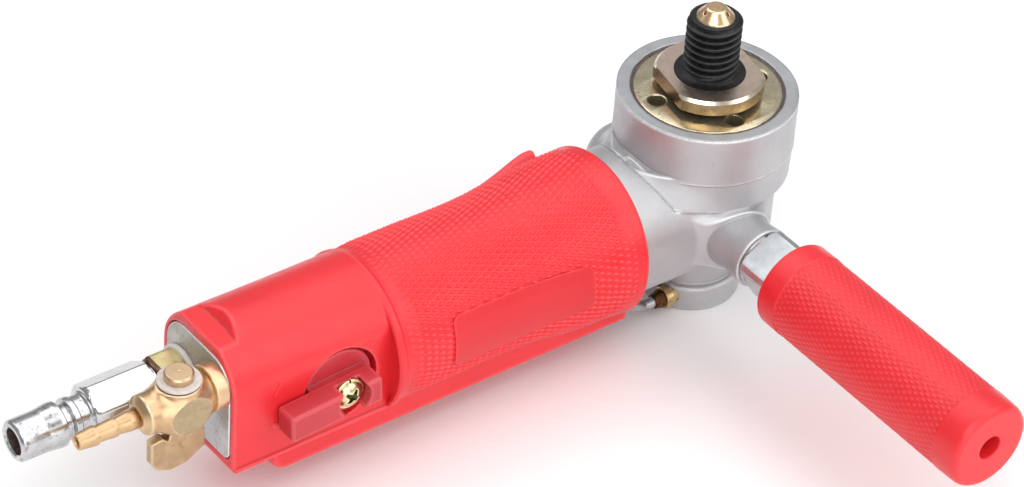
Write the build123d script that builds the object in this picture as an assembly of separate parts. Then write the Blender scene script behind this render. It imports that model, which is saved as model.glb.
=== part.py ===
from build123d import *
import math
import os

os.makedirs("parts", exist_ok=True)

# ---------------------------------------------------------------- frame
# Z is the spindle axis, zero at the pad seat; the motor axis runs along X.
ZA = -41.5            # height of the motor axis
XH = -5.5             # side-handle axis, distance along X from the spindle axis

# ---------------------------------------------------------------- driving sizes (mm)
THREAD_R = 7.9375     # 5/8 inch spindle thread, major radius
THREAD_TOP = 18.6
NOZZLE_TOP = 21.8
NOZZLE_ANGLES = [-67.5, 52.5, 172.5]
CUP_R = 26.3          # gear head cup
CUP_TOP = -6.0
CUP_LOW = -21.5       # line between the turned cup and the cast bowl
BOWL_LOW = -31.6      # lower edge of the bowl
NECK_R = 21.8
NECK_REAR = -37.0
NECK_FRONT = 22.3     # rounded front of the gear case, radius about Z
GROOVE_R = 29.9       # clearance groove round the cup, outer radius
GROOVE_LOW = -20.9
BASE_R = 15.15
BASE_TOP = -67.8
BASE_LOW = -76.1
BOSS_R = 9.2
BOSS_END = -36.7
FLANGE_R = 16.0
FLANGE_T = 4.6
FLANGE_FLAT = 13.5
RET_R = 21.7          # bearing retainer
RET_TOP = -6.5
RET_LOW = -24.5
SPAN_PCD_R = 16.3     # pin-spanner holes
SPAN_HOLE_R = 2.6
SEAL_R = 13.2
HOUS_R = 20.2         # motor housing tube
HOUS_BORE = 17.5
BLOCK_X = -172.5      # rear face of the motor housing
BLOCK_W = 16.0
BLOCK_TOP = -22.2
BLOCK_LOW = -54.0
SHELL_W = 17.5        # rear shell half width
SHELL_LOW = -56.5
SHELL_REAR = -172.3
GRIP_REAR = -122.0
GRIP_FRONT = -37.2
KEEL_LOW = -65.2
KEEL_W = 15.5
KEEL_REAR = -158.0
KEEL_FRONT = -35.6
KNOB_X = -137.9       # throttle axis
KNOB_Z = -41.1
KNOB_TILT = -3.5      # lever rests a little below level
RECESS_R = 11.9       # round recess of the throttle lever
PLUG_Y = 7.3          # air inlet axis
PLUG_Z = -38.0
COCK_Y = -9.2         # water cock axis
COCK_Z = -30.5
STEM_X = -184.4       # water cock stem
N_CROWN = 30          # bevel pair
N_PINION = 10
PITCH_R = 18.0        # crown pitch radius
HANDLE_IN = -49.4
HANDLE_OUT = -133.0
HANDLE_R = 13.2
TUBE_R = 1.7
TUBE_X = -152.8
TUBE_Y = -12.0
TUBE_Z = -62.2
NUT_Y = -7.5
NUT_Z = -71.3


# ---------------------------------------------------------------- helpers
def cx(r, x0, x1, y=0.0, z=ZA):
    return Pos((x0 + x1) / 2, y, z) * Rot(0, 90, 0) * Cylinder(r, abs(x1 - x0))


def cy(r, y0, y1, x=0.0, z=ZA):
    return Pos(x, (y0 + y1) / 2, z) * Rot(90, 0, 0) * Cylinder(r, abs(y1 - y0))


def cz(r, z0, z1, x=0.0, y=0.0):
    return Pos(x, y, (z0 + z1) / 2) * Cylinder(r, abs(z1 - z0))


def bx(x0, x1, y0, y1, z0, z1):
    return Pos((x0 + x1) / 2, (y0 + y1) / 2, (z0 + z1) / 2) * Box(x1 - x0, y1 - y0, z1 - z0)


def rev_x(pts, y=0.0, z=ZA):
    f = make_face(Polyline(*[(a, 0, r) for a, r in pts], close=True))
    return Pos(0, y, z) * revolve(f, Axis.X, 360)


def rev_y(pts, x=0.0, z=ZA):
    f = make_face(Polyline(*[(r, a, 0) for a, r in pts], close=True))
    return Pos(x, 0, z) * revolve(f, Axis.Y, 360)


def rev_z(pts, x=0.0, y=0.0):
    f = make_face(Polyline(*[(r, 0, a) for r, a in pts], close=True))
    return Pos(x, y, 0) * revolve(f, Axis.Z, 360)


def hex_x(af, x0, x1, y, z, turn=0.0):
    sk = Plane.YZ * (Rot(0, 0, turn) * RegularPolygon(af / 2, 6, major_radius=False))
    return Pos(x0, y, z) * extrude(sk, amount=x1 - x0)


def outline_x(w, low, top, r_top, r_low, x0, x1):
    f = make_face(Polyline((0, -w, low), (0, w, low), (0, w, top), (0, -w, top), close=True))
    vs = f.vertices().sort_by(Axis.Z)
    f = fillet(vs[:2], r_low)
    vs = [v for v in f.vertices() if v.Z > top - 0.01]
    f = fillet(vs, r_top)
    return Pos(x0, 0, 0) * extrude(f, amount=x1 - x0, dir=(1, 0, 0))


def bearing(axis, a0, a1, r1, r2, r3, r4, n):
    mk = cx if axis == "x" else cz
    outer = mk(r4, a0, a1) - mk(r3, a0 - 1, a1 + 1)
    inner = mk(r2, a0, a1) - mk(r1, a0 - 1, a1 + 1)
    br = (r3 - r2) / 2 - 0.05
    pr = (r2 + r3) / 2
    mid = (a0 + a1) / 2
    balls = []
    for i in range(n):
        t = 2 * math.pi * i / n
        if axis == "x":
            balls.append(Pos(mid, pr * math.cos(t), ZA + pr * math.sin(t)) * Sphere(br))
        else:
            balls.append(Pos(pr * math.cos(t), pr * math.sin(t), mid) * Sphere(br))
    return outer, inner, Compound(children=balls)


def save(shape, name):
    export_step(shape, "parts/" + name + ".step")


# ---------------------------------------------------------------- gear head
cup = cz(CUP_R, CUP_LOW, CUP_TOP)
cup = chamfer(cup.edges().group_by(Axis.Z)[-1], 0.5)
cone = rev_z([(0, CUP_LOW), (CUP_R, CUP_LOW), (CUP_R, BOWL_LOW), (NECK_FRONT, BOWL_LOW - 3.6), (NECK_FRONT, -38.0), (0, -38.0)])
neck = cx(NECK_R, NECK_REAR, 0) + (cx(NECK_R, -1, 23) & cz(NECK_FRONT, -70, -10))
neck -= cz(GROOVE_R, GROOVE_LOW, -12)
web = bx(-30.4, -26.0, -0.7, 0.7, -28.5, -20.4)
column = cz(13.0, BASE_LOW + 1, ZA)
base = cz(BASE_R, BASE_LOW, BASE_TOP)
base = chamfer(base.edges().group_by(Axis.Z)[0], 0.5)
boss = rev_y([(0, 0), (0, 11.2), (-23, 10.2), (-27, 9.4), (-31, BOSS_R), (-35.9, 9.5), (BOSS_END, 9.2), (BOSS_END, 0)], XH, ZA)
far_boss = cy(10.4, 0, 35.8, -6.0, -46.5)
far_boss = fillet(far_boss.edges().group_by(Axis.Y)[-1], 6.2)
spigot = cx(17.45, -45.2, NECK_REAR + 1) - (cx(20, -42.3, -39.7) - cx(15.9, -45, -37))
head = cup + cone + neck + web + column + base + boss + far_boss + spigot
head -= cz(RET_R + 0.05, RET_LOW - 0.1, CUP_TOP + 1)
head -= rev_z([(0, RET_LOW), (20.2, RET_LOW), (20.2, -36.9), (10.0, -39.6), (0, -39.6)])
head -= cz(10.2, -50.5, -36.5)
head -= cz(9.0, -68.0, -50.4)
head -= cz(8.8, -74.0, -67.9)
head -= cx(8.0, -24.0, -6.0)
head -= cx(11.0, -31.0, -24.0)
head -= cx(13.5, -46.0, -31.0)
head -= cy(5.0, BOSS_END - 1, -22.5, XH)
head -= cx(1.2, -14.5, -2.0, NUT_Y, NUT_Z)
head -= cx(2.6, -20.0, -10.2, NUT_Y, NUT_Z)
head -= bx(-16.0, -13.3, NUT_Y - 3.6, NUT_Y + 3.6, NUT_Z - 3.4, BASE_TOP + 0.5)
save(head, "gear_head_housing")

# ---------------------------------------------------------------- bearing retainer
ret = cz(RET_R, RET_LOW, RET_TOP)
ret = chamfer(ret.edges().group_by(Axis.Z)[-1], 0.4)
ret -= cz(11.6, RET_LOW - 1, RET_TOP + 1)
ret -= cz(SEAL_R, RET_LOW - 1, -9.5)
ret -= cz(17.5, RET_LOW - 1, -13.4)
SPAN_ANGLES = [168.5, 78.5, -11.5, -101.5]
for a in SPAN_ANGLES:
    t = math.radians(a)
    ret -= cz(SPAN_HOLE_R, -12.0, RET_TOP + 1, SPAN_PCD_R * math.cos(t), SPAN_PCD_R * math.sin(t))
save(ret, "bearing_retainer")
save(cz(SEAL_R, -12.6, -9.5) - cz(10.5, -20, 0), "spindle_seal")
ub_o, ub_i, ub_b = bearing("z", -24.4, -13.4, 7.5, 10.2, 14.6, 17.5, 11)
save(ub_o, "upper_bearing_outer")
save(ub_i, "upper_bearing_inner")
save(ub_b, "upper_bearing_balls")

# ---------------------------------------------------------------- spindle group
spindle = rev_z([(2.5, -67.5), (6.0, -67.5), (6.0, -36.6), (7.5, -36.6), (7.5, -13.4), (10.45, -13.4), (10.45, 0.0),
                 (THREAD_R, 0.0), (THREAD_R, THREAD_TOP - 1.0), (THREAD_R - 1.0, THREAD_TOP), (4.0, THREAD_TOP),
                 (4.0, 9.0), (2.5, 8.0)])
key = bx(-2.0, 2.0, 5.7, 9.3, -34.0, -26.0)
spindle -= key
spindle -= cz(7.4, -37.6, -36.6) - cz(5.5, -38, -36)
save(spindle, "spindle")
save(key, "spindle_key")
save(cz(8.6, -37.6, -36.6) - cz(5.5, -38, -36), "gear_circlip")

flange = cz(FLANGE_R, -FLANGE_T, 0)
flange = chamfer(flange.edges().group_by(Axis.Z)[-1], 0.8)
flange &= Rot(0, 0, -11) * bx(-FLANGE_FLAT, FLANGE_FLAT, -20, 20, -10, 10)
flange -= cz(10.45, -10, 10)
save(flange, "wrench_flange")

nozzle = rev_z([(0, 9.0), (4.0, 9.0), (4.0, THREAD_TOP), (5.6, THREAD_TOP), (5.6, 18.8), (2.83, NOZZLE_TOP), (0, NOZZLE_TOP)])
nozzle -= cz(1.6, 8.0, 19.6)
for a in NOZZLE_ANGLES:
    nozzle -= Pos(0, 0, 17.1) * Rot(0, 0, a) * Rot(0, 45, 0) * Pos(0, 0, 3.6) * Cylinder(0.6, 7.0)
save(nozzle, "water_nozzle")

# ---------------------------------------------------------------- bevel pair, apex on both axes
ALPHA = math.atan2(N_PINION, N_CROWN)
CA, SA = math.cos(ALPHA), math.sin(ALPHA)
L_OUT = PITCH_R / CA
L_IN = 13.3
ADD, DED = 0.85, 1.35
CROWN_TOOTH = [(-1.5, -1.18), (0.0, -0.72), (ADD, -0.42), (ADD, 0.42), (0.0, 0.72), (-1.5, 1.18)]
PIN_TOOTH = [(-1.5, -0.85), (0.0, -0.74), (ADD, -0.36), (ADD, 0.36), (0.0, 0.74), (-1.5, 0.85)]


def crown_tooth(phi):
    er = Vector(math.cos(phi), math.sin(phi), 0)
    et = Vector(-math.sin(phi), math.cos(phi), 0)
    ez = Vector(0, 0, 1)
    faces = []
    for L in (L_OUT, L_IN):
        s = L / L_OUT
        p = [Vector(0, 0, ZA) + er * (L * CA + h * s * SA) + ez * (L * SA - h * s * CA) + et * (w * s) for h, w in CROWN_TOOTH]
        faces.append(make_face(Polyline(*p, close=True)))
    return loft(faces, ruled=True)


def pinion_tooth(phi):
    er = Vector(0, math.sin(phi), math.cos(phi))
    et = Vector(0, math.cos(phi), -math.sin(phi))
    ex = Vector(1, 0, 0)
    faces = []
    for L in (L_OUT, L_IN):
        s = L / L_OUT
        p = [Vector(0, 0, ZA) + ex * (-L * CA + h * s * SA) + er * (L * SA + h * s * CA) + et * (w * s) for h, w in PIN_TOOTH]
        faces.append(make_face(Polyline(*p, close=True)))
    return loft(faces, ruled=True)


rt = ALPHA + math.atan2(DED, L_OUT)
crown = rev_z([(7.5, ZA + L_IN * math.sin(rt)), (L_IN * math.cos(rt), ZA + L_IN * math.sin(rt)),
               (L_OUT * math.cos(rt), ZA + L_OUT * math.sin(rt)), (17.0, ZA + 11.0), (10.2, ZA + 11.6), (10.2, -24.4), (7.5, -24.4)])
for i in range(N_CROWN):
    crown += crown_tooth(math.pi + 2 * math.pi * (i + 0.5) / N_CROWN)
crown -= key
save(crown, "crown_gear")

rp = ALPHA - math.atan2(DED, L_OUT)
pinion = rev_x([(-L_IN * math.cos(rp), 2.5), (-L_IN * math.cos(rp), L_IN * math.sin(rp)), (-L_OUT * math.cos(rp), L_OUT * math.sin(rp)),
                (-19.3, 6.2), (-24.0, 6.2), (-24.0, 2.5)])
for i in range(N_PINION):
    pinion += pinion_tooth(2 * math.pi * i / N_PINION)
save(pinion, "pinion")
pb_o, pb_i, pb_b = bearing("x", -31.0, -24.0, 4.0, 6.0, 9.0, 11.0, 8)
save(pb_o, "pinion_bearing_outer")
save(pb_i, "pinion_bearing_inner")
save(pb_b, "pinion_bearing_balls")

# ---------------------------------------------------------------- spindle tail bearing and seal
save(cz(9.0, -63.0, -51.0) - cz(8.0, -64, -50), "lower_needle_cup")
needles = [cz(0.96, -62.0, -52.0, 7.0 * math.cos(2 * math.pi * i / 16), 7.0 * math.sin(2 * math.pi * i / 16)) for i in range(16)]
save(Compound(children=needles), "lower_needles")
save(cz(9.0, -68.0, -63.2) - cz(6.06, -70, -60), "water_seal")

# ---------------------------------------------------------------- motor
ROT_R = 12.5
ECC = 1.9
CYL_BORE = 14.6
rotor = cx(ROT_R, -100.8, -54.2) + cx(4.0, -108.6, -100) + cx(4.0, -55, -24.0) + cx(2.5, -24.5, -12.6)
vanes = []
for i in range(5):
    t = 72.0 * i
    slot = Pos(0, 0, ZA) * Rot(t, 0, 0) * bx(-101, -54, -1.1, 1.1, 5.6, 14)
    rotor -= slot & cx(ROT_R + 1, -100.8, -54.2)
    vanes.append(Pos(0, 0, ZA) * Rot(t, 0, 0) * bx(-100.7, -54.3, -1.04, 1.04, 5.7, 12.3))
save(rotor, "rotor")
save(Compound(children=vanes), "vanes")

cyl = cx(17.4, -101.0, -54.0) - cx(CYL_BORE, -102, -53, 0, ZA + ECC)
for x in (-90, -83, -76):
    cyl -= bx(x - 1.2, x + 1.2, -18, -10, ZA - 3, ZA + 3)
for x in (-68, -63, -58):
    cyl -= bx(x - 1.4, x + 1.4, 10, 18, ZA - 1, ZA + 6)
for a in (200, 340):
    t = math.radians(a)
    cyl -= cx(1.5, -103, -52, 16.0 * math.cos(t), ZA + 16.0 * math.sin(t))
save(cyl, "motor_cylinder")
dowels = [cx(1.5, -104.0, -51.0, 16.0 * math.cos(math.radians(a)), ZA + 16.0 * math.sin(math.radians(a))) for a in (200, 340)]
front = cx(17.4, -54.0, -46.0) - cx(11.0, -53.0, -45) - cx(7.0, -55, -45)
rear = cx(17.4, -109.0, -101.0) - cx(11.0, -110, -102.0) - cx(7.0, -110, -100)
for d in dowels:
    front -= d
    rear -= d
rear -= cx(1.8, -110, -100, -13.2, ZA + 2.0)
rear -= cx(1.8, -110, -100, -13.2, ZA - 2.6)
save(front, "front_end_plate")
save(rear, "rear_end_plate")
save(Compound(children=dowels), "cylinder_dowels")
save(cx(17.4, -109.5, -109.0) - cx(11.0, -111, -108), "motor_gasket")
save(cx(17.3, -46.0, -45.2) - cx(14.5, -47, -44), "wave_washer")
fb_o, fb_i, fb_b = bearing("x", -53.0, -46.0, 4.0, 6.0, 9.0, 11.0, 8)
rb_o, rb_i, rb_b = bearing("x", -109.0, -102.0, 4.0, 6.0, 9.0, 11.0, 8)
save(fb_o, "front_bearing_outer")
save(fb_i, "front_bearing_inner")
save(fb_b, "front_bearing_balls")
save(rb_o, "rear_bearing_outer")
save(rb_i, "rear_bearing_inner")
save(rb_b, "rear_bearing_balls")
save(Pos(-41.0, 0, ZA) * Rot(0, 90, 0) * Torus(16.65, 0.75), "neck_oring")

# ---------------------------------------------------------------- motor housing with valve block
hous = cx(HOUS_R, -122.0, NECK_REAR - 0.3)
hous += outline_x(BLOCK_W, BLOCK_LOW, BLOCK_TOP, 7.0, 3.0, BLOCK_X, -121.0)
hous -= cx(HOUS_BORE, -109.5, -36)
hous -= cx(8.0, -110.6, -109)
hous -= cx(6.55, BLOCK_X - 1, -152.0, PLUG_Y, PLUG_Z)
hous -= cx(4.0, -153, KNOB_X, PLUG_Y, PLUG_Z)
hous -= cy(7.05, -20, 12.4, KNOB_X, KNOB_Z)
hous -= cy(8.0, -14.3, -13.3, KNOB_X, KNOB_Z)
hous -= cy(RECESS_R, -20, -15.1, KNOB_X, KNOB_Z)
hous -= cx(3.6, KNOB_X, -109.0, -1.0, KNOB_Z)
hous -= bx(-113.0, -109.4, -15.0, 1.0, ZA - 4.4, ZA + 3.8)
hous -= cx(4.95, BLOCK_X - 1, -160.5, COCK_Y, COCK_Z)
hous -= cx(1.4, -161, TUBE_X, COCK_Y, COCK_Z)
hous -= cz(1.75, -56, -29.5, TUBE_X, TUBE_Y + 1.6)
for x in (-64, -58):
    hous -= Pos(x, 0, ZA) * Rot(-75, 0, 0) * Pos(0, 0, 19) * Cylinder(2.2, 6)
save(hous, "motor_housing")

# ---------------------------------------------------------------- water tube from the valve block to the base disc
tube_path = FilletPolyline((TUBE_X, TUBE_Y + 1.6, -46.0), (TUBE_X, TUBE_Y + 1.6, TUBE_Z), (TUBE_X + 5.2, TUBE_Y, TUBE_Z), (-34.5, TUBE_Y, TUBE_Z),
                           (-23.5, NUT_Y, NUT_Z), (-11.6, NUT_Y, NUT_Z), radius=2.6)
start = Plane(origin=(TUBE_X, TUBE_Y + 1.6, -46.0), z_dir=(0, 0, -1))
tube = sweep(start * Circle(TUBE_R), path=tube_path) - sweep(start * Circle(1.1), path=tube_path)
channel = sweep(start * Circle(TUBE_R + 0.25), path=tube_path)
save(tube, "water_tube")
nut = cx(3.3, -16.6, -13.3, NUT_Y, NUT_Z) + cx(2.9, -19.6, -16.5, NUT_Y, NUT_Z) + cx(2.55, -13.4, -11.5, NUT_Y, NUT_Z)
nut -= cx(TUBE_R + 0.05, -20, -10, NUT_Y, NUT_Z)
nut -= cx(2.3, -20, -18.6, NUT_Y, NUT_Z)
save(nut, "tube_nut")
save(cx(2.55, -11.45, -10.3, NUT_Y, NUT_Z) - cx(1.1, -12, -9, NUT_Y, NUT_Z), "tube_ferrule")

# ---------------------------------------------------------------- grip shell
prof = [(-121.2, 23.3), (-98.0, 23.3), (-82.0, 23.1), (-73.0, 23.4), (-66.0, 24.1), (-59.0, 24.8), (-51.0, 25.3), (-44.0, 25.4), (-38.4, 25.4)]
edge = Spline(*[(a, 0, r) for a, r in prof])
body = make_face([Polyline((GRIP_REAR, 0, 0), (GRIP_REAR, 0, 22.7), (-121.2, 0, 23.3)), edge,
                  Polyline((-38.4, 0, 25.4), (GRIP_FRONT, 0, 24.5), (GRIP_FRONT, 0, 0), (GRIP_REAR, 0, 0))])
grip = Pos(0, 0, ZA) * revolve(body, Axis.X, 360)
hump = make_face(Polyline((-70, 0, 21), (-70, 0, 23.2), (-60, 0, 25.2), (-52, 0, 27.3), (-47.6, 0, 28.0), (-45.6, 0, 25.2), (-45.6, 0, 21), close=True))
hump = Pos(0, 0, ZA) * Rot(-47, 0, 0) * revolve(hump, Axis.X, -58)
grip += hump


def arch(x, side_top, crown):
    return make_face([Polyline((x, -SHELL_W, side_top), (x, -SHELL_W, SHELL_LOW), (x, SHELL_W, SHELL_LOW), (x, SHELL_W, side_top)),
                      ThreePointArc((x, SHELL_W, side_top), (x, 0, crown), (x, -SHELL_W, side_top))])


shell = loft([arch(SHELL_REAR, -31.5, -16.3), arch(GRIP_REAR + 1.0, -28.0, -17.4)])
shell -= bx(-180, -165.4, -20, 20, -19.2, -5)
keel = bx(KEEL_REAR, KEEL_FRONT, -KEEL_W, KEEL_W, KEEL_LOW, -46.0)
keel = fillet(keel.edges().filter_by(Axis.Y).group_by(Axis.Z)[0].sort_by(Axis.X)[0], 5.0)
keel = fillet(keel.edges().filter_by(Axis.Y).group_by(Axis.Z)[0].sort_by(Axis.X)[-1], 1.5)
keel = chamfer(keel.edges().filter_by(Axis.X).group_by(Axis.Z)[0], 1.2)
keel -= cx(NECK_R + 0.15, GRIP_FRONT - 0.1, KEEL_FRONT + 1)
grip = grip - bx(-130, -30, -30, 30, -80, KEEL_LOW)
red = grip + shell + keel
red -= cx(HOUS_R + 0.1, GRIP_REAR - 0.1, -30)
red -= outline_x(BLOCK_W + 0.1, BLOCK_LOW - 0.1, BLOCK_TOP + 0.1, 7.0, 3.0, -180, GRIP_REAR + 1.1)
red -= cy(RECESS_R, -20, -15.0, KNOB_X, KNOB_Z)
red -= channel
pocket = make_face(Polyline((-67, 0, 20.1), (-67, 0, 22.0), (-50.5, 0, 25.4), (-50.5, 0, 20.1), close=True))
pocket = Pos(0, 0, ZA) * Rot(-52, 0, 0) * revolve(pocket, Axis.X, -48)
red -= pocket
for a in (-62, -76, -90):
    red -= Pos(0, 0, ZA) * Rot(a, 0, 0) * bx(-51.5, -44.0, -2.2, 2.2, 25.5, 26.7)
    red -= Pos(0, 0, ZA) * Rot(a, 0, 0) * bx(-54.0, -50.0, -2.2, 2.2, 23.0, 26.7)
save(red, "grip_shell")
pad = make_face(Polyline((-66.8, 0, 20.4), (-66.8, 0, 21.8), (-56.0, 0, 23.6), (-56.0, 0, 20.4), close=True))
pad = Pos(0, 0, ZA) * Rot(-53, 0, 0) * revolve(pad, Axis.X, -46)
save(pad, "silencer_pad")

# ---------------------------------------------------------------- throttle
spool = cy(7.0, -13.1, 12.0, KNOB_X, KNOB_Z) + cy(5.5, -15.3, -13.0, KNOB_X, KNOB_Z)
spool -= cx(3.5, -150, -120, 3.4, KNOB_Z)
for y in (-10.5, 9.8):
    spool -= cy(8.0, y - 0.9, y + 0.9, KNOB_X, KNOB_Z) - cy(5.5, y - 2, y + 2, KNOB_X, KNOB_Z)
spool -= cy(2.0, -20, -6.0, KNOB_X, KNOB_Z)
save(spool, "throttle_spool")
rings = [Pos(KNOB_X, y, KNOB_Z) * Rot(90, 0, 0) * Torus(6.28, 0.74) for y in (-10.5, 9.8)]
save(Compound(children=rings), "throttle_orings")
save(cy(7.95, -14.25, -13.35, KNOB_X, KNOB_Z) - cy(5.75, -15, -12, KNOB_X, KNOB_Z) - bx(KNOB_X - 1.5, KNOB_X + 1.5, -16, -12, KNOB_Z, KNOB_Z + 10), "throttle_circlip")

knob = cy(RECESS_R - 1.1, -16.4, -15.3, KNOB_X, KNOB_Z)
bar = bx(-20.7, 8.8, -25.1, -17.9, -4.5, 3.8)
bar = fillet(bar.edges().filter_by(Axis.Y), 1.0)
bar = fillet(bar.edges().group_by(Axis.Y)[0], 0.7)
knob += Pos(KNOB_X, 0, KNOB_Z) * Rot(0, KNOB_TILT, 0) * bar
foot = Rot(0, KNOB_TILT, 0) * bx(-12.0, 8.0, -18.5, -16.0, -4.3, 3.6)
knob += (Pos(KNOB_X, 0, KNOB_Z) * foot) & cy(RECESS_R - 1.1, -19, -15.5, KNOB_X, KNOB_Z)
knob -= cy(5.1, -30, -20.6, KNOB_X, KNOB_Z)
knob -= cy(2.1, -30, -10, KNOB_X, KNOB_Z)
save(knob, "throttle_knob")
screw = rev_y([(-20.6, 0), (-20.6, 4.75), (-21.8, 4.75), (-21.8, 3.8), (-22.9, 3.5), (-23.5, 2.4), (-23.8, 0)], KNOB_X, KNOB_Z)
screw += cy(1.95, -21, -7.0, KNOB_X, KNOB_Z)
for a in (35, 125):
    screw -= Pos(KNOB_X, 0, KNOB_Z) * Rot(0, a, 0) * bx(-2.2, 2.2, -24, -22.4, -0.45, 0.45)
save(screw, "throttle_screw")

# ---------------------------------------------------------------- air inlet
save(cx(8.3, -173.9, BLOCK_X, PLUG_Y, PLUG_Z) - cx(6.55, -180, -170, PLUG_Y, PLUG_Z), "inlet_washer")
adapter = hex_x(13.4, -182.4, -173.9, PLUG_Y, PLUG_Z, 0) + cx(6.5, -174, -161.0, PLUG_Y, PLUG_Z)
adapter -= cx(4.6, -176.0, -150, PLUG_Y, PLUG_Z)
adapter -= cx(5.2, -190, -175.2, PLUG_Y, PLUG_Z)
save(adapter, "inlet_adapter")
screen = cx(4.55, -172.0, -163.0, PLUG_Y, PLUG_Z) - cx(4.1, -180, -164.0, PLUG_Y, PLUG_Z)
for i in range(8):
    screen -= Pos(0, PLUG_Y, PLUG_Z) * Rot(45 * i, 0, 0) * bx(-170.8, -165.4, -0.6, 0.6, 3, 6)
save(screen, "inlet_screen")
plug = rev_x([(-225.4, 0), (-225.4, 5.4), (-224.7, 5.95), (-217.0, 5.95), (-212.7, 6.45), (-211.6, 6.35), (-210.9, 4.6), (-209.4, 4.6),
              (-208.9, 6.05), (-207.3, 6.05), (-206.9, 5.6), (-204.4, 5.6), (-203.4, 6.8), (-203.4, 0)], PLUG_Y, PLUG_Z)
plug += hex_x(14.2, -203.5, -183.2, PLUG_Y, PLUG_Z, 30) & rev_x([(-204, 0), (-203.8, 7.2), (-202.6, 8.2), (-184.2, 8.2), (-183.2, 7.3), (-183.2, 0)], PLUG_Y, PLUG_Z)
plug += cx(6.2, -183.3, -182.4, PLUG_Y, PLUG_Z)
plug += cx(5.15, -182.5, -175.3, PLUG_Y, PLUG_Z)
plug -= cx(3.8, -230, -170, PLUG_Y, PLUG_Z)
save(plug, "air_plug")

# ---------------------------------------------------------------- water cock
save(cx(6.8, -176.3, BLOCK_X, COCK_Y, COCK_Z) - cx(4.95, -180, -170, COCK_Y, COCK_Z), "cock_collar")
ball = [(0, -37.0)] + [(max(6.3, math.sqrt(8.8 ** 2 - (z + 31.8) ** 2)), z) for z in (-37.0, -36.0, -34.8, -33.4, -31.8, -30.2, -28.8, -27.4, -26.2)] + [(6.3, -25.5), (6.3, -24.0), (0, -24.0)]
cock = Pos(STEM_X, COCK_Y, 0) * rev_z(ball)
cock += cx(5.9, -197.6, -176.3, COCK_Y, COCK_Z)
cock -= bx(-200, -170, COCK_Y - 12, COCK_Y - 6.2, -45, -15)
cock += cx(4.9, -176.4, -161.0, COCK_Y, COCK_Z)
cock += rev_x([(-197.5, 0), (-197.5, 2.85), (-200.4, 2.85), (-204.3, 2.35), (-204.3, 2.7), (-205.4, 2.7), (-210.2, 2.3), (-210.2, 2.75), (-211.2, 2.75), (-216.0, 2.2), (-216.0, 0)], COCK_Y, COCK_Z)
cock -= cx(1.4, -220, -150, COCK_Y, COCK_Z)
cock -= cz(3.65, -45, -20, STEM_X, COCK_Y)
save(cock, "cock_body")
wing = make_face(Polyline((-194.3, 0, -41.2), (-194.3, 0, -48.3), (-192.6, 0, -50.8), (-188.0, 0, -52.4), (-183.0, 0, -51.6), (-177.3, 0, -48.2), (-177.3, 0, -42.4),
                          (-179.5, 0, -38.9), (-181.0, 0, -37.3), (-187.4, 0, -37.3), (-188.6, 0, -41.8), (-190.2, 0, -40.4), close=True))
wing = Pos(0, COCK_Y, 0) * extrude(wing, amount=2.1, both=True)
wing = wing + cz(3.6, -37.5, -22.9, STEM_X, COCK_Y) + cz(2.5, -23.0, -21.0, STEM_X, COCK_Y) + cz(5.0, -39.0, -37.3, STEM_X, COCK_Y)
wing -= cx(1.4, -190, -178, COCK_Y, COCK_Z)
save(wing, "cock_plug")
save(cz(6.1, -23.8, -22.9, STEM_X, COCK_Y) - cz(3.65, -30, -20, STEM_X, COCK_Y), "cock_washer")
cap = cz(4.1, -22.9, -20.6, STEM_X, COCK_Y)
cap = chamfer(cap.edges().group_by(Axis.Z)[-1], 0.5)
cap -= cz(2.5, -23.5, -21.0, STEM_X, COCK_Y)
save(cap, "cock_cap")

# ---------------------------------------------------------------- side handle
washer = cy(8.6, BOSS_END - 1.1, BOSS_END, XH) - cy(5.2, -40, -30, XH)
washer -= bx(XH - 0.5, XH + 0.5, -40, -30, ZA, ZA + 12)
save(washer, "handle_lock_washer")
hub = cy(10.4, HANDLE_IN, BOSS_END - 1.1, XH)
sq = Pos(XH, (HANDLE_IN + BOSS_END - 1.1) / 2, ZA) * Rot(0, -28.7, 0) * Box(16.0, 14, 16.0)
hub &= sq
stud = hub + cy(4.95, BOSS_END - 1.5, -23.0, XH) + cy(5.0, -116.0, HANDLE_IN + 0.5, XH)
save(stud, "handle_stud")
hpts = [(HANDLE_IN, 5.05), (HANDLE_IN, 11.8), (-50.1, 12.9), (-50.9, 13.4), (-57.0, 13.45), (-57.6, 13.2), (-124.0, 13.2), (-124.8, 13.45), (-130.8, 13.2), (-132.3, 12.5),
        (HANDLE_OUT, 10.9), (HANDLE_OUT, 3.6), (-125.0, 3.6), (-125.0, 0.0), (-116.1, 0.0), (-116.1, 5.05)]
save(rev_y(hpts, XH, ZA), "handle_grip")
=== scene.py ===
import math
import bpy
import bmesh
import numpy as np
from mathutils import Matrix, Vector
from mathutils.geometry import tessellate_polygon


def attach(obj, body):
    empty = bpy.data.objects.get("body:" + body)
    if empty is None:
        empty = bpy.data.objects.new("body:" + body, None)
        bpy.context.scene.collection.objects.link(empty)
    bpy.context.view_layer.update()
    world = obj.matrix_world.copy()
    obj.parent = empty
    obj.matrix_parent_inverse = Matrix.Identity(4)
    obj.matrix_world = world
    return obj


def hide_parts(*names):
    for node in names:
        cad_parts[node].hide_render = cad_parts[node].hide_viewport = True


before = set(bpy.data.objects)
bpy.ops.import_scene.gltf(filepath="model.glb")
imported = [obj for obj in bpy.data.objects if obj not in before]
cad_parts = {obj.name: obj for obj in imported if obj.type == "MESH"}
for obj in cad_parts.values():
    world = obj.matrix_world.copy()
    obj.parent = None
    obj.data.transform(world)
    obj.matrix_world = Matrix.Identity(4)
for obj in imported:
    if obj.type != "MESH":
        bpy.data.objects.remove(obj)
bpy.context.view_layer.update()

PI = math.pi

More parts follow.
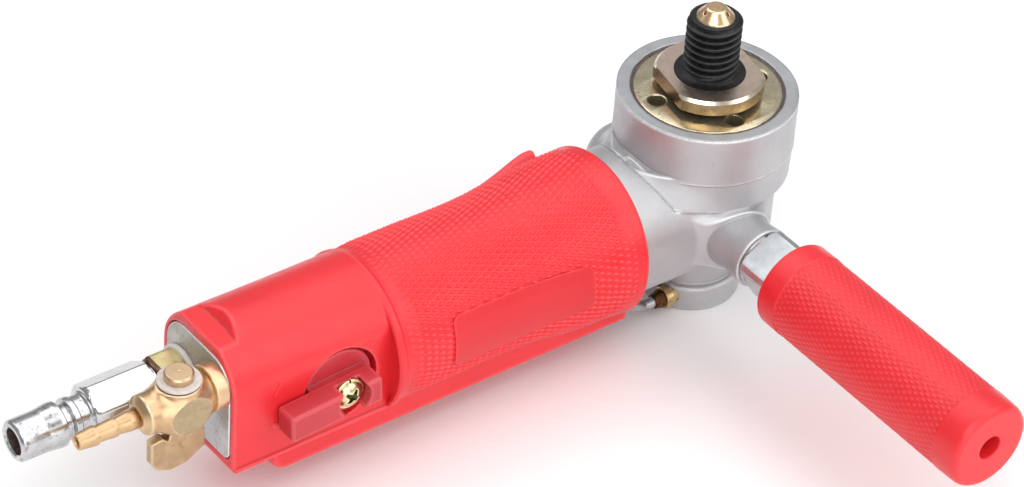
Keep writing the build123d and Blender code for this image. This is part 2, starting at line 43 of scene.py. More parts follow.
# ------------------------------------------------------------------ sizes in millimetres
ZA = -41.5                      # motor axis height
XH = -5.5                       # side-handle axis
CUP_R, CUP_TOP, CUP_LOW = 26.15, -6.0, -21.5
NECK_R = 21.8
KNOB_X, KNOB_Z = -137.9, -41.1
RECESS_R = 11.9
BOSS_END = -36.7
HUB_IN, HUB_OUT = -37.8, -49.4  # side-handle hub
PLUG_Y, PLUG_Z = 7.3, -38.0
COCK_Y, COCK_Z, STEM_X = -9.2, -30.5, -184.4
NUT_Y, NUT_Z = -7.5, -71.3
PITCH = 2.309                   # 11 threads to the inch
GRIP = [(-122.0, 23.25), (-110.0, 23.3), (-98.0, 23.3), (-90.0, 23.15), (-82.0, 23.1), (-73.0, 23.4), (-66.0, 24.1),
        (-59.0, 24.8), (-51.0, 25.3), (-44.0, 25.4), (-37.0, 25.4)]


# ------------------------------------------------------------------ small maths
def smin(a, b, k):
    h = np.maximum(k - np.abs(a - b), 0.0) / k
    return np.minimum(a, b) - h * h * k * 0.25


def smax(a, b, k):
    return -smin(-a, -b, k)


def rmin(a, b, r):
    return np.maximum(r, np.minimum(a, b)) - np.hypot(np.maximum(r - a, 0.0), np.maximum(r - b, 0.0))


def rbox(x, y, z, x0, x1, y0, y1, z0, z1, r):
    qx = np.abs(x - (x0 + x1) / 2) - (x1 - x0) / 2 + r
    qy = np.abs(y - (y0 + y1) / 2) - (y1 - y0) / 2 + r
    qz = np.abs(z - (z0 + z1) / 2) - (z1 - z0) / 2 + r
    out = np.sqrt(np.maximum(qx, 0) ** 2 + np.maximum(qy, 0) ** 2 + np.maximum(qz, 0) ** 2)
    return out + np.minimum(np.maximum(qx, np.maximum(qy, qz)), 0.0) - r


def rrect(y, z, w, z0, z1, rt, rb):
    r = np.where(z > (z0 + z1) / 2, rt, rb)
    qy = np.abs(y) - w + r
    qz = np.abs(z - (z0 + z1) / 2) - (z1 - z0) / 2 + r
    return np.hypot(np.maximum(qy, 0), np.maximum(qz, 0)) + np.minimum(np.maximum(qy, qz), 0.0) - r


def round_cyl(rad, ax, R, end, rho):
    u, v = rad - R + rho, ax - end + rho
    return np.minimum(np.maximum(u, v), 0.0) + np.hypot(np.maximum(u, 0.0), np.maximum(v, 0.0)) - rho


def poly2d(px, py, pts):
    d = np.full(px.shape, 1e9)
    s = np.ones(px.shape)
    n = len(pts)
    for i in range(n):
        ax, ay = pts[i]
        bx, by = pts[i - 1]
        ex, ey = bx - ax, by - ay
        wx, wy = px - ax, py - ay
        t = np.clip((wx * ex + wy * ey) / (ex * ex + ey * ey), 0, 1)
        d = np.minimum(d, (wx - ex * t) ** 2 + (wy - ey * t) ** 2)
        c1, c2, c3 = py >= ay, py < by, ex * wy > ey * wx
        flip = (c1 & c2 & c3) | (~c1 & ~c2 & ~c3)
        s = np.where(flip, -s, s)
    return s * np.sqrt(d)


def curve(pts):
    """Smooth monotone curve through points, as a function."""
    p = np.array(sorted(pts), float)
    x, y = p[:, 0], p[:, 1]
    h = np.diff(x)
    dl = np.diff(y) / h
    m = np.zeros(len(x))
    m[0], m[-1] = dl[0], dl[-1]
    for i in range(1, len(x) - 1):
        if dl[i - 1] * dl[i] > 0:
            w1, w2 = 2 * h[i] + h[i - 1], h[i] + 2 * h[i - 1]
            m[i] = (w1 + w2) / (w1 / dl[i - 1] + w2 / dl[i])

    def f(q):
        q = np.clip(q, x[0], x[-1])
        i = np.clip(np.searchsorted(x, q) - 1, 0, len(h) - 1)
        t = (q - x[i]) / h[i]
        return ((2 * t ** 3 - 3 * t ** 2 + 1) * y[i] + (t ** 3 - 2 * t ** 2 + t) * h[i] * m[i]
                + (-2 * t ** 3 + 3 * t ** 2) * y[i + 1] + (t ** 3 - t ** 2) * h[i] * m[i + 1])
    return f


def rounded(pts, seg=5, closed=False, support=0.12):
    """Corner points (a, b[, radius]) to a polyline with arcs and support points beside them."""
    n = len(pts)
    out = []
    for i, p in enumerate(pts):
        P = np.array(p[:2], float)
        rad = p[2] if len(p) > 2 else 0.0
        if rad <= 0 or (not closed and i in (0, n - 1)):
            out.append(P)
            continue
        A, B = np.array(pts[i - 1][:2], float), np.array(pts[(i + 1) % n][:2], float)
        la, lb = np.linalg.norm(A - P), np.linalg.norm(B - P)
        u, v = (A - P) / la, (B - P) / lb
        c = float(np.clip(u @ v, -1, 1))
        phi = math.acos(c)
        if phi > PI - 0.02 or phi < 0.02:
            out.append(P)
            continue
        t = min(rad / math.tan(phi / 2), 0.48 * la, 0.48 * lb)
        rr = t * math.tan(phi / 2)
        w = (u + v) / np.linalg.norm(u + v)
        C = P + w * rr / math.sin(phi / 2)
        s, e = P + u * t - C, P + v * t - C
        if support and la > 2 * t + 2 * support:
            out.append(P + u * (t + support))
        ang = PI - phi
        for k in range(seg + 1):
            q = k / seg
            a = math.sin((1 - q) * ang) / math.sin(ang)
            b = math.sin(q * ang) / math.sin(ang)
            out.append(C + s * a + e * b)
        if support and lb > 2 * t + 2 * support:
            out.append(P + v * (t + support))
    return [tuple(q) for q in out]


# ------------------------------------------------------------------ mesh gathering
class Mesh:
    def __init__(self):
        self.v, self.f, self.m, self.flat, self.wear, self.nor = [], [], [], [], [], []
        self.n = 0
        self.has_nor = False

    def add(self, V, F, mat=0, flat=None, wear=None, nor=None):
        V = np.asarray(V, float)
        self.v.append(V)
        base = self.n
        for f in F:
            self.f.append([int(i) + base for i in f])
        self.m += [mat] * len(F)
        self.flat += list(flat) if flat is not None else [False] * len(F)
        self.wear.append(np.zeros(len(V)) if wear is None else np.asarray(wear, float))
        self.n += len(V)
        return self

    def build(self, name, mats, body, slot, replaces=(), sharp=32.0, fix=True):
        V = np.vstack(self.v) * 0.001
        me = bpy.data.meshes.new(name)
        me.from_pydata(V.tolist(), [], self.f)
        me.polygons.foreach_set("material_index", self.m)
        # per-vertex edge mask, positive on convex edges and negative in concave creases; the materials turn it into
        # worn edges, painted highlights and painted shade
        w = me.attributes.new("wear", "FLOAT", "POINT")
        w.data.foreach_set("value", np.concatenate(self.wear).astype(np.float32))
        for m in mats:
            me.materials.append(m)
        me.update()
        if fix:
            bm = bmesh.new()
            bm.from_mesh(me)
            bmesh.ops.recalc_face_normals(bm, faces=bm.faces)
            bm.to_mesh(me)
            bm.free()
        me.polygons.foreach_set("use_smooth", [not q for q in self.flat])
        if sharp:
            me.set_sharp_from_angle(angle=math.radians(sharp))
        me.update()
        ob = bpy.data.objects.new(name, me)
        bpy.context.scene.collection.objects.link(ob)
        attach(ob, body)
        if replaces:
            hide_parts(*replaces)
        return ob


def axis_map(axis, a, r, t, c):
    """Axial a, radius r, angle t about the named axis through c (two remaining coordinates)."""
    if axis == "x":
        return np.stack([a, c[0] + r * np.sin(t), c[1] + r * np.cos(t)], -1)
    if axis == "y":
        return np.stack([c[0] + r * np.sin(t), a, c[1] + r * np.cos(t)], -1)
    return np.stack([c[0] + r * np.cos(t), c[1] + r * np.sin(t), a], -1)


def grid_faces(na, nt, wrap):
    i, j = np.meshgrid(np.arange(na - 1), np.arange(nt if wrap else nt - 1), indexing="ij")
    j2 = (j + 1) % nt
    return np.stack([i * nt + j, (i + 1) * nt + j, (i + 1) * nt + j2, i * nt + j2], -1).reshape(-1, 4).tolist()


def lathe(prof, axis, c, n=96, t0=0.0, t1=2 * PI, loop=False):
    """Turned surface from (axial, radius) points; zero radius closes with a fan; loop closes the profile."""
    prof = list(prof)
    full = abs(t1 - t0 - 2 * PI) < 1e-6
    if loop:
        prof = prof + [prof[0]]
    a = np.array([p[0] for p in prof], float)
    r = np.array([max(p[1], 0.0) for p in prof], float)
    t = np.linspace(t0, t1, n, endpoint=not full)
    A, T = np.meshgrid(a, t, indexing="ij")
    R = np.repeat(r[:, None], n, 1)
    V = axis_map(axis, A, R, T, c).reshape(-1, 3)
    F = grid_faces(len(a), n, full)
    if loop:
        last = (len(a) - 1) * n
        F = [[(q - last) if q >= last else q for q in f] for f in F]
        V = V[:last]
        if not full:
            F.append([k * n for k in range(len(a) - 1)])
            F.append([k * n + n - 1 for k in range(len(a) - 1)])
        return V, F
    for e, row in ((0, 0), (len(a) - 1, (len(a) - 1) * n)):
        ring = list(range(row, row + n))
        if r[e] < 1e-6:
            V[row] = axis_map(axis, np.array(a[e]), np.array(0.0), np.array(0.0), c)
            F = [[row if (row <= q < row + n) else q for q in f] for f in F]
            F = [list(dict.fromkeys(f)) for f in F]
    F = [f for f in F if len(f) > 2]
    return V, F


def compact(V, F):
    used = np.zeros(len(V), bool)
    for f in F:
        used[list(f)] = True
    idx = np.cumsum(used) - 1
    return V[used], [[int(idx[q]) for q in f] for f in F]


def polar(shape, stations, axis, c, thetas, cap0=True, cap1=True):
    """Prism about an axis: radius is the smaller of shape(theta) and each station's limit (axial, limit)."""
    th = np.asarray(thetas, float)
    sh = shape(th)
    a = np.array([s[0] for s in stations], float)
    lim = np.array([s[1] for s in stations], float)
    R = np.minimum(sh[None, :], lim[:, None])
    A, T = np.meshgrid(a, th, indexing="ij")
    V = axis_map(axis, A, R, T, c).reshape(-1, 3)
    F = grid_faces(len(a), len(th), True)
    flat = [False] * len(F)
    n = len(th)
    for on, row, ax in ((cap0, 0, a[0]), (cap1, (len(a) - 1) * n, a[-1])):
        if on:
            k = len(V)
            V = np.vstack([V, axis_map(axis, np.array(ax), np.array(0.0), np.array(0.0), c)[None, :]])
            for j in range(n):
                F.append([row + j, row + (j + 1) % n, k])
                flat.append(True)
    return V, F, flat


def ngon_shape(n, af, turn=0.0, blunt=0.0):
    def f(t):
        q = (t - turn + PI / n) % (2 * PI / n) - PI / n
        return np.minimum(af / 2 / np.cos(q), af / 2 / math.cos(PI / n) - blunt)
    return f


def ngon_thetas(n, turn=0.0, per=10, near=0.03):
    out = []
    for i in range(n):
        b = turn + 2 * PI * i / n + PI / n
        out += [b - near, b, b + near]
        for k in range(1, per):
            out.append(b + near + (2 * PI / n - 2 * near) * k / per)
    return sorted(q % (2 * PI) for q in out)


def offset_loop(L, d):
    """Move a counter-clockwise loop inward by d."""
    L = np.asarray(L, float)
    e = np.roll(L, -1, 0) - L
    e /= np.linalg.norm(e, axis=1)[:, None]
    nrm = np.stack([-e[:, 1], e[:, 0]], 1)
    m = nrm + np.roll(nrm, 1, 0)
    m /= np.linalg.norm(m, axis=1)[:, None]
    c = np.maximum((m * nrm).sum(1), 0.35)
    return L + m * (d / c)[:, None]


def plate(loop, holes, h0, h1, b0, b1, to3d, seg=4, straight=False):
    """Flat plate between heights h0 < h1 with rounded (or chamfered) edges; loops counter-clockwise."""
    tt = [k / seg for k in range(seg + 1)]
    rings = [(b0 * q, h0 + b0 * (1 - w)) for q, w in ([(1, 1), (0, 0)] if straight else [(1 - math.cos(k * PI / 2), math.sin(k * PI / 2)) for k in reversed(tt)])]
    rings += [(b1 * q, h1 - b1 * (1 - w)) for q, w in ([(0, 0), (1, 1)] if straight else [(1 - math.cos(k * PI / 2), math.sin(k * PI / 2)) for k in tt])]
    V, F, flat = [], [], []
    bot, top = [], []
    base = 0
    for li, L in enumerate([loop] + list(holes)):
        n = len(L)
        sign = 1.0 if li == 0 else -1.0
        ids = []
        for off, h in rings:
            q = offset_loop(L, sign * off)
            V += [(p[0], p[1], h) for p in q]
            ids.append(list(range(base, base + n)))
            base += n
        for r0, r1 in zip(ids[:-1], ids[1:]):
            for j in range(n):
                F.append([r0[j], r0[(j + 1) % n], r1[(j + 1) % n], r1[j]])
                flat.append(False)
        bot.append(ids[0])
        top.append(ids[-1])
    for rings_ids in (bot, top):
        polys = [[Vector((V[i][0], V[i][1], 0)) for i in ids] for ids in rings_ids]
        order = [i for ids in rings_ids for i in ids]
        for tri in tessellate_polygon(polys):
            F.append([order[i] for i in tri])
            flat.append(True)
    V = np.array([to3d(*p) for p in V])
    return V, F, flat


def circle(r, n=96, c=(0, 0)):
    return [(c[0] + r * math.cos(2 * PI * i / n), c[1] + r * math.sin(2 * PI * i / n)) for i in range(n)]


# ------------------------------------------------------------------ surfaces from distance fields
def field_mesh(f, lo, hi, h, steps=4, wear_k=1.0):
    lo, hi = np.array(lo, float), np.array(hi, float)
    n = np.ceil((hi - lo) / h).astype(int) + 1
    ax = [lo[i] + h * np.arange(n[i]) for i in range(3)]
    D = np.empty(tuple(n), np.float32)
    for i0 in range(0, n[0], 24):
        X, Y, Z = np.meshgrid(ax[0][i0:i0 + 24], ax[1], ax[2], indexing="ij")
        D[i0:i0 + 24] = f(X, Y, Z)
    S = D < 0
    cnt = np.zeros(tuple(n - 1), np.int8)
    for dx in (0, 1):
        for dy in (0, 1):
            for dz in (0, 1):
                cnt += S[dx:n[0] - 1 + dx, dy:n[1] - 1 + dy, dz:n[2] - 1 + dz]
    act = (cnt > 0) & (cnt < 8)
    idx = np.full(act.shape, -1, np.int64)
    I, J, K = np.nonzero(act)
    idx[I, J, K] = np.arange(len(I))
    acc = np.zeros((len(I), 3))
    num = np.zeros(len(I))
    cor = [(0, 0, 0), (1, 0, 0), (0, 1, 0), (1, 1, 0), (0, 0, 1), (1, 0, 1), (0, 1, 1), (1, 1, 1)]
    val = [D[I + c[0], J + c[1], K + c[2]].astype(float) for c in cor]
    for a in range(8):
        for b in range(a + 1, 8):
            if sum(abs(cor[a][i] - cor[b][i]) for i in range(3)) != 1:
                continue
            m = (val[a] < 0) != (val[b] < 0)
            t = val[a][m] / (val[a][m] - val[b][m])
            pa, pb = np.array(cor[a], float), np.array(cor[b], float)
            acc[m] += pa + t[:, None] * (pb - pa)
            num[m] += 1
    V = (np.stack([I, J, K], 1) + acc / num[:, None]) * h + lo
    F = []
    for d in range(3):
        o = [i for i in range(3) if i != d]
        sl0 = [slice(None)] * 3
        sl1 = [slice(None)] * 3
        sl0[d], sl1[d] = slice(0, -1), slice(1, None)
        for q in o:
            sl0[q] = sl1[q] = slice(1, -1)
        A, B = S[tuple(sl0)], S[tuple(sl1)]
        for up in (True, False):
            e = np.argwhere((A != B) & (A == up))
            if len(e) == 0:
                continue
            c = e.copy()
            q = []
            for (p0, p1) in ((0, 0), (1, 0), (1, 1), (0, 1)):
                g = c.copy()
                g[:, o[0]] += p0
                g[:, o[1]] += p1
                q.append(idx[g[:, 0], g[:, 1], g[:, 2]])
            q = np.stack(q, 1)
            if up != (d == 1):
                F.append(q)
            else:
                F.append(q[:, ::-1])
    F = np.vstack(F)
    F = F[(F >= 0).all(1)]
    e = 0.02

    def grad(P):
        x, y, z = P[:, 0], P[:, 1], P[:, 2]
        return np.stack([f(x + e, y, z) - f(x - e, y, z), f(x, y + e, z) - f(x, y - e, z), f(x, y, z + e) - f(x, y, z - e)], 1) / (2 * e)
    for _ in range(steps):
        g = grad(V)
        d = f(V[:, 0], V[:, 1], V[:, 2])
        s = d[:, None] * g / np.maximum((g * g).sum(1), 0.05)[:, None]
        ln = np.linalg.norm(s, axis=1)
        V = V - s * np.minimum(1.0, 0.5 * h / np.maximum(ln, 1e-9))[:, None]
    # convexity of the field, stored as the edge mask for worn edges, painted highlights and painted shade
    q = 0.35
    x, y, z = V[:, 0], V[:, 1], V[:, 2]
    lap = (f(x + q, y, z) + f(x - q, y, z) + f(x, y + q, z) + f(x, y - q, z) + f(x, y, z + q) + f(x, y, z - q) - 6 * f(x, y, z)) / (q * q)
    return V, F.tolist(), np.clip(lap * wear_k, -1, 1)


# ------------------------------------------------------------------ materials
class Nodes:
    def __init__(self, name):
        self.mat = bpy.data.materials.new(name)
        self.mat.use_nodes = True
        self.t = self.mat.node_tree
        self.t.nodes.clear()
        self.out = self.t.nodes.new("ShaderNodeOutputMaterial")
        self.b = self.t.nodes.new("ShaderNodeBsdfPrincipled")
        self.t.links.new(self.b.outputs[0], self.out.inputs[0])
        self.co = self.t.nodes.new("ShaderNodeTexCoord").outputs["Object"]

    def link(self, a, b):
        self.t.links.new(a, b)

    def set(self, **kw):
        for k, v in kw.items():
            self.b.inputs[k.replace("_", " ")].default_value = v
        return self

    def scaled(self, sx, sy, sz):
        m = self.t.nodes.new("ShaderNodeMapping")
        m.inputs["Scale"].default_value = (sx, sy, sz)
        self.link(self.co, m.inputs["Vector"])
        return m.outputs[0]

    def noise(self, scale, detail=3.0, rough=0.55, vec=None, dist=0.0):
        n = self.t.nodes.new("ShaderNodeTexNoise")
        n.inputs["Scale"].default_value = scale
        n.inputs["Detail"].default_value = detail
        n.inputs["Roughness"].default_value = rough
        n.inputs["Distortion"].default_value = dist
        self.link(vec or self.co, n.inputs["Vector"])
        return n.outputs["Fac"]

    def voro(self, scale, vec=None, feature="F1"):
        n = self.t.nodes.new("ShaderNodeTexVoronoi")
        n.feature = feature
        n.inputs["Scale"].default_value = scale
        self.link(vec or self.co, n.inputs["Vector"])
        return n.outputs["Distance"]

    def wave(self, scale, axis="X", vec=None, dist=0.0, rings=False):
        n = self.t.nodes.new("ShaderNodeTexWave")
        n.wave_type = "RINGS" if rings else "BANDS"
        if rings:
            n.rings_direction = axis
        else:
            n.bands_direction = axis
        n.inputs["Scale"].default_value = scale
        n.inputs["Distortion"].default_value = dist
        self.link(vec or self.co, n.inputs["Vector"])
        return n.outputs["Fac"]

    def ramp(self, fac, stops, interp="LINEAR"):
        n = self.t.nodes.new("ShaderNodeValToRGB")
        n.color_ramp.interpolation = interp
        el = n.color_ramp.elements
        while len(el) < len(stops):
            el.new(0.5)
        for e, (p, c) in zip(el, stops):
            e.position = p
            e.color = (c[0], c[1], c[2], 1.0) if not isinstance(c, (int, float)) else (c, c, c, 1.0)
        self.link(fac, n.inputs["Fac"])
        return n.outputs["Color"]

    def span(self, fac, a, b, lo, hi):
        n = self.t.nodes.new("ShaderNodeMapRange")
        for k, v in (("From Min", a), ("From Max", b), ("To Min", lo), ("To Max", hi)):
            n.inputs[k].default_value = v
        self.link(fac, n.inputs["Value"])
        return n.outputs[0]

    def mix(self, fac, a, b, mode="MIX"):
        n = self.t.nodes.new("ShaderNodeMix")
        n.data_type = "RGBA"
        n.blend_type = mode
        for s, v in ((n.inputs[0], fac), (n.inputs[6], a), (n.inputs[7], b)):
            if hasattr(v, "is_output"):
                self.link(v, s)
            elif isinstance(v, (int, float)):
                s.default_value = v
            else:
                s.default_value = (v[0], v[1], v[2], 1.0)
        return n.outputs[2]

    def math(self, op, a, b=0.0, clamp=False):
        n = self.t.nodes.new("ShaderNodeMath")
        n.operation = op
        n.use_clamp = clamp
        for s, v in ((n.inputs[0], a), (n.inputs[1], b)):
            if hasattr(v, "is_output"):
                self.link(v, s)
            else:
                s.default_value = v
        return n.outputs[0]

    def attr(self, name="wear"):
        n = self.t.nodes.new("ShaderNodeAttribute")
        n.attribute_name = name
        return n.outputs["Fac"]

    def color(self, sock):
        self.link(sock, self.b.inputs["Base Color"])
        return self

    def rough(self, sock):
        self.link(sock, self.b.inputs["Roughness"])
        return self

    def bump(self, layers):
        """layers: (height socket, strength, distance in metres), stacked."""
        last = None
        for h, s, d in layers:
            n = self.t.nodes.new("ShaderNodeBump")
            n.inputs["Strength"].default_value = s
            n.inputs["Distance"].default_value = d
            self.link(h, n.inputs["Height"])
            if last is not None:
                self.link(last, n.inputs["Normal"])
            last = n.outputs["Normal"]
        self.link(last, self.b.inputs["Normal"])
        return self


def red_plastic(name, lit, deep, edge_highlight, rough=0.34, grain=0.22, crevice_shade=0.5):
    m = Nodes(name).set(Metallic=0.0, IOR=1.49)
    big = m.noise(55, 3)
    fine = m.noise(2600, 2)
    w = m.attr()
    c = m.ramp(big, [(0.3, deep), (0.7, lit)])
    # convex edges and knurl tips are mixed toward a paler red as a painted highlight; concave creases and knurl valleys
    # are darkened as painted shade
    c = m.mix(m.span(w, 0.05, 0.7, 0.0, 0.55), c, edge_highlight)
    c = m.mix(m.span(w, -0.05, -0.8, 0.0, crevice_shade), c, tuple(0.5 * q for q in deep))
    m.color(c)
    m.rough(m.span(m.noise(420, 4), 0.3, 0.7, rough - 0.06, rough + 0.08))
    m.bump([(m.noise(190, 2), 0.05, 0.0004), (fine, grain, 0.00005)])
    m.set(Specular_IOR_Level=0.5)
    return m.mat


def metal(name, c0, c1, rough=(0.25, 0.4), scale=300, metallic=1.0, speck=None, bump=0.12, brush=None, edge=None, fine=2400):
    m = Nodes(name).set(Metallic=metallic)
    n1 = m.noise(scale, 4)
    c = m.ramp(n1, [(0.32, c0), (0.68, c1)])
    if speck:
        s = m.noise(speck[1], 2, 0.5)
        c = m.mix(m.span(s, speck[2], speck[2] + 0.07, 0.0, speck[3]), c, speck[0])
    w = m.attr()
    if edge:
        # convex edges mixed toward the edge colour: partly worn metal, partly painted highlight; concave creases
        # darkened: painted shade
        c = m.mix(m.span(w, 0.08, 0.8, 0.0, edge[1]), c, edge[0])
        c = m.mix(m.span(w, -0.08, -0.9, 0.0, 0.6), c, tuple(0.45 * q for q in c0))
    m.color(c)
    m.rough(m.span(m.noise(scale * 2.2, 4), 0.3, 0.7, rough[0], rough[1]))
    layers = [(m.noise(fine, 3), bump, 0.00006)]
    if brush:
        layers.append((m.noise(brush[3], 2, 0.6, m.scaled(*brush[:3])), brush[4], 0.00004))
    m.bump(layers)
    return m.mat


RED = red_plastic("red_moulding", (0.77, 0.024, 0.032), (0.70, 0.019, 0.026), (0.90, 0.085, 0.10))
RED_RIB = red_plastic("red_knurl", (0.77, 0.026, 0.034), (0.70, 0.020, 0.028), (0.92, 0.13, 0.145), 0.34, 0.22, 0.75)
# darker copy of the moulding red for the near-side panel: painted shade
RED_PANEL_SHADED = red_plastic("red_panel_shaded", (0.655, 0.019, 0.026), (0.61, 0.016, 0.022), (0.86, 0.075, 0.09))
RED_KNOB = red_plastic("red_lever", (0.54, 0.035, 0.047), (0.47, 0.028, 0.038), (0.66, 0.085, 0.10), 0.44)


def silver_paint():
    m = Nodes("silver_cast").set(Metallic=0.72)
    big = m.noise(60, 3)
    c = m.ramp(big, [(0.3, (0.46, 0.46, 0.472)), (0.7, (0.535, 0.535, 0.545))])
    flake = m.noise(5200, 1)
    c = m.mix(m.span(flake, 0.55, 0.75, 0.0, 0.3), c, (0.66, 0.66, 0.67))
    spot = m.noise(900, 2)
    c = m.mix(m.span(spot, 0.70, 0.76, 0.0, 0.5), c, (0.34, 0.33, 0.33))
    w = m.attr()
    # convex edges paler: partly worn paint, partly painted highlight; concave creases darker: painted shade
    c = m.mix(m.span(w, 0.12, 0.9, 0.0, 0.65), c, (0.80, 0.80, 0.81))
    c = m.mix(m.span(w, -0.15, -1.0, 0.0, 0.45), c, (0.22, 0.22, 0.23))
    m.color(c)
    m.rough(m.span(m.noise(700, 3), 0.3, 0.7, 0.42, 0.54))
    m.bump([(m.noise(260, 3), 0.10, 0.0003), (m.noise(3000, 2), 0.12, 0.00005)])
    return m.mat


SILVER = silver_paint()


def turned(name, c0, c1, axis_scale, rough=(0.22, 0.36), metallic=1.0, speck=None, amount=0.35, edge=None, centre=None):
    """Metal with fine turning lines running round an axis: rings about the object-space axis."""
    m = Nodes(name).set(Metallic=metallic)
    n1 = m.noise(260, 4)
    c = m.ramp(n1, [(0.3, c0), (0.7, c1)])
    if speck:
        s = m.noise(speck[1], 2, 0.5)
        c = m.mix(m.span(s, speck[2], speck[2] + 0.06, 0.0, speck[3]), c, speck[0])
    w = m.attr()
    if edge:
        # convex edges mixed toward the edge colour: partly worn metal, partly painted highlight
        c = m.mix(m.span(w, 0.08, 0.8, 0.0, edge[1]), c, edge[0])
    vec = None
    if centre:
        mp = m.t.nodes.new("ShaderNodeMapping")
        mp.vector_type = "POINT"
        mp.inputs["Location"].default_value = tuple(-q for q in centre)
        m.link(m.co, mp.inputs["Vector"])
        vec = mp.outputs[0]
    rings = m.wave(axis_scale[1], axis_scale[0], vec, 0.6, True)
    c = m.mix(m.span(rings, 0.0, 1.0, 0.0, 0.14), c, (0.2, 0.18, 0.15))
    m.color(c)
    m.rough(m.span(m.noise(800, 4), 0.3, 0.7, rough[0], rough[1]))
    m.bump([(rings, amount, 0.00002), (m.noise(3000, 2), 0.08, 0.00004)])
    return m.mat


RIM = turned("machined_rim", (0.42, 0.43, 0.45), (0.50, 0.51, 0.53), ("Z", 900), (0.40, 0.54), 0.75)
GOLD = turned("zinc_yellow", (0.60, 0.52, 0.35), (0.73, 0.65, 0.46), ("Z", 700), (0.15, 0.25), 0.90, ((0.24, 0.20, 0.12), 1500, 0.62, 0.55), 0.06)
FLANGE = turned("flange_zinc", (0.57, 0.445, 0.365), (0.66, 0.525, 0.435), ("Z", 800), (0.27, 0.40), 1.0, ((0.38, 0.29, 0.21), 700, 0.66, 0.2), 0.3)
FLANGE_SIDE = metal("flange_side", (0.46, 0.33, 0.19), (0.62, 0.46, 0.27), (0.24, 0.36), 340, 1.0, ((0.38, 0.25, 0.14), 1300, 0.62, 0.35), 0.08)
FLANGE_FLAT = metal("flange_flat", (0.30, 0.19, 0.13), (0.42, 0.28, 0.20), (0.26, 0.38), 300, 1.0, ((0.24, 0.14, 0.10), 900, 0.62, 0.4), 0.08)
# paler copy of the flange metal for the top chamfer: painted highlight
FLANGE_CHAMFER_HIGHLIGHT = metal("flange_chamfer_highlight", (0.74, 0.66, 0.50), (0.86, 0.78, 0.62), (0.16, 0.26), 300, 1.0, ((0.6, 0.5, 0.34), 1300, 0.66, 0.25), 0.04)
BLACK = metal("black_steel", (0.012, 0.012, 0.013), (0.028, 0.028, 0.030), (0.30, 0.46), 500, 0.6, ((0.07, 0.07, 0.073), 1500, 0.66, 0.4), 0.15, None, ((0.055, 0.055, 0.058), 0.6))
COPPER = turned("nozzle_brass", (0.78, 0.52, 0.30), (0.86, 0.62, 0.38), ("Z", 1200), (0.18, 0.30), 1.0, None, 0.2, ((0.98, 0.80, 0.58), 0.6))
BRASS = metal("brass", (0.575, 0.375, 0.205), (0.69, 0.47, 0.28), (0.27, 0.40), 260, 1.0, ((0.48, 0.33, 0.18), 620, 0.64, 0.35), 0.12, (300, 60, 60, 9, 0.12), ((0.90, 0.76, 0.54), 0.5))
BRASS_WING = metal("brass_wing", (0.47, 0.32, 0.185), (0.58, 0.41, 0.25), (0.34, 0.46), 260, 1.0, ((0.34, 0.22, 0.12), 560, 0.62, 0.4), 0.16, (60, 60, 300, 9, 0.14), ((0.82, 0.66, 0.44), 0.5))
BRASS_HEX = metal("brass_hex", (0.74, 0.62, 0.30), (0.86, 0.74, 0.42), (0.28, 0.40), 300, 1.0, ((0.36, 0.24, 0.10), 700, 0.62, 0.4), 0.1, (60, 300, 300, 6, 0.12), ((0.84, 0.70, 0.42), 0.5))
BRASS_DARK = metal("brass_chamfer", (0.13, 0.07, 0.05), (0.21, 0.12, 0.08), (0.34, 0.48), 300, 1.0, ((0.10, 0.05, 0.03), 700, 0.6, 0.4), 0.1)
BRASS_TURN_X = metal("brass_turned", (0.60, 0.395, 0.215), (0.70, 0.475, 0.275), (0.30, 0.42), 240, 1.0, ((0.52, 0.36, 0.18), 700, 0.64, 0.3), 0.08, (3000, 40, 40, 1.0, 0.30), ((0.95, 0.80, 0.52), 0.6))
BRASS_CAP = turned("brass_cap", (0.66, 0.46, 0.28), (0.74, 0.54, 0.34), ("Z", 1500), (0.28, 0.42), 1.0, None, 0.35, ((0.95, 0.8, 0.5), 0.6), (STEM_X * 0.001, COCK_Y * 0.001, 0.0))
COLLAR = metal("collar_copper", (0.72, 0.48, 0.28), (0.82, 0.60, 0.38), (0.30, 0.42), 240, 1.0, ((0.5, 0.3, 0.18), 800, 0.66, 0.3), 0.06, (3200, 40, 40, 1.0, 0.30), ((0.97, 0.82, 0.6), 0.6))
CHROME = metal("chrome", (0.56, 0.565, 0.575), (0.68, 0.685, 0.695), (0.10, 0.20), 340, 1.0, ((0.30, 0.27, 0.27), 1500, 0.60, 0.35), 0.06, (60, 900, 900, 3, 0.10), ((0.85, 0.85, 0.85), 0.5))
CHROME_NOSE = metal("chrome_nose", (0.50, 0.505, 0.515), (0.64, 0.645, 0.655), (0.17, 0.30), 300, 1.0, ((0.27, 0.14, 0.12), 480, 0.60, 0.6), 0.14, (40, 500, 500, 3, 0.16), ((0.85, 0.85, 0.85), 0.5))
ZINC = metal("zinc_steel", (0.50, 0.525, 0.54), (0.62, 0.65, 0.665), (0.34, 0.48), 220, 1.0, ((0.36, 0.37, 0.38), 1400, 0.64, 0.45), 0.12, (40, 900, 40, 4, 0.10), ((0.88, 0.89, 0.90), 0.5))
TUBE = metal("tube_steel", (0.46, 0.47, 0.48), (0.60, 0.61, 0.62), (0.26, 0.38), 300, 1.0, ((0.2, 0.19, 0.18), 900, 0.64, 0.4), 0.08)
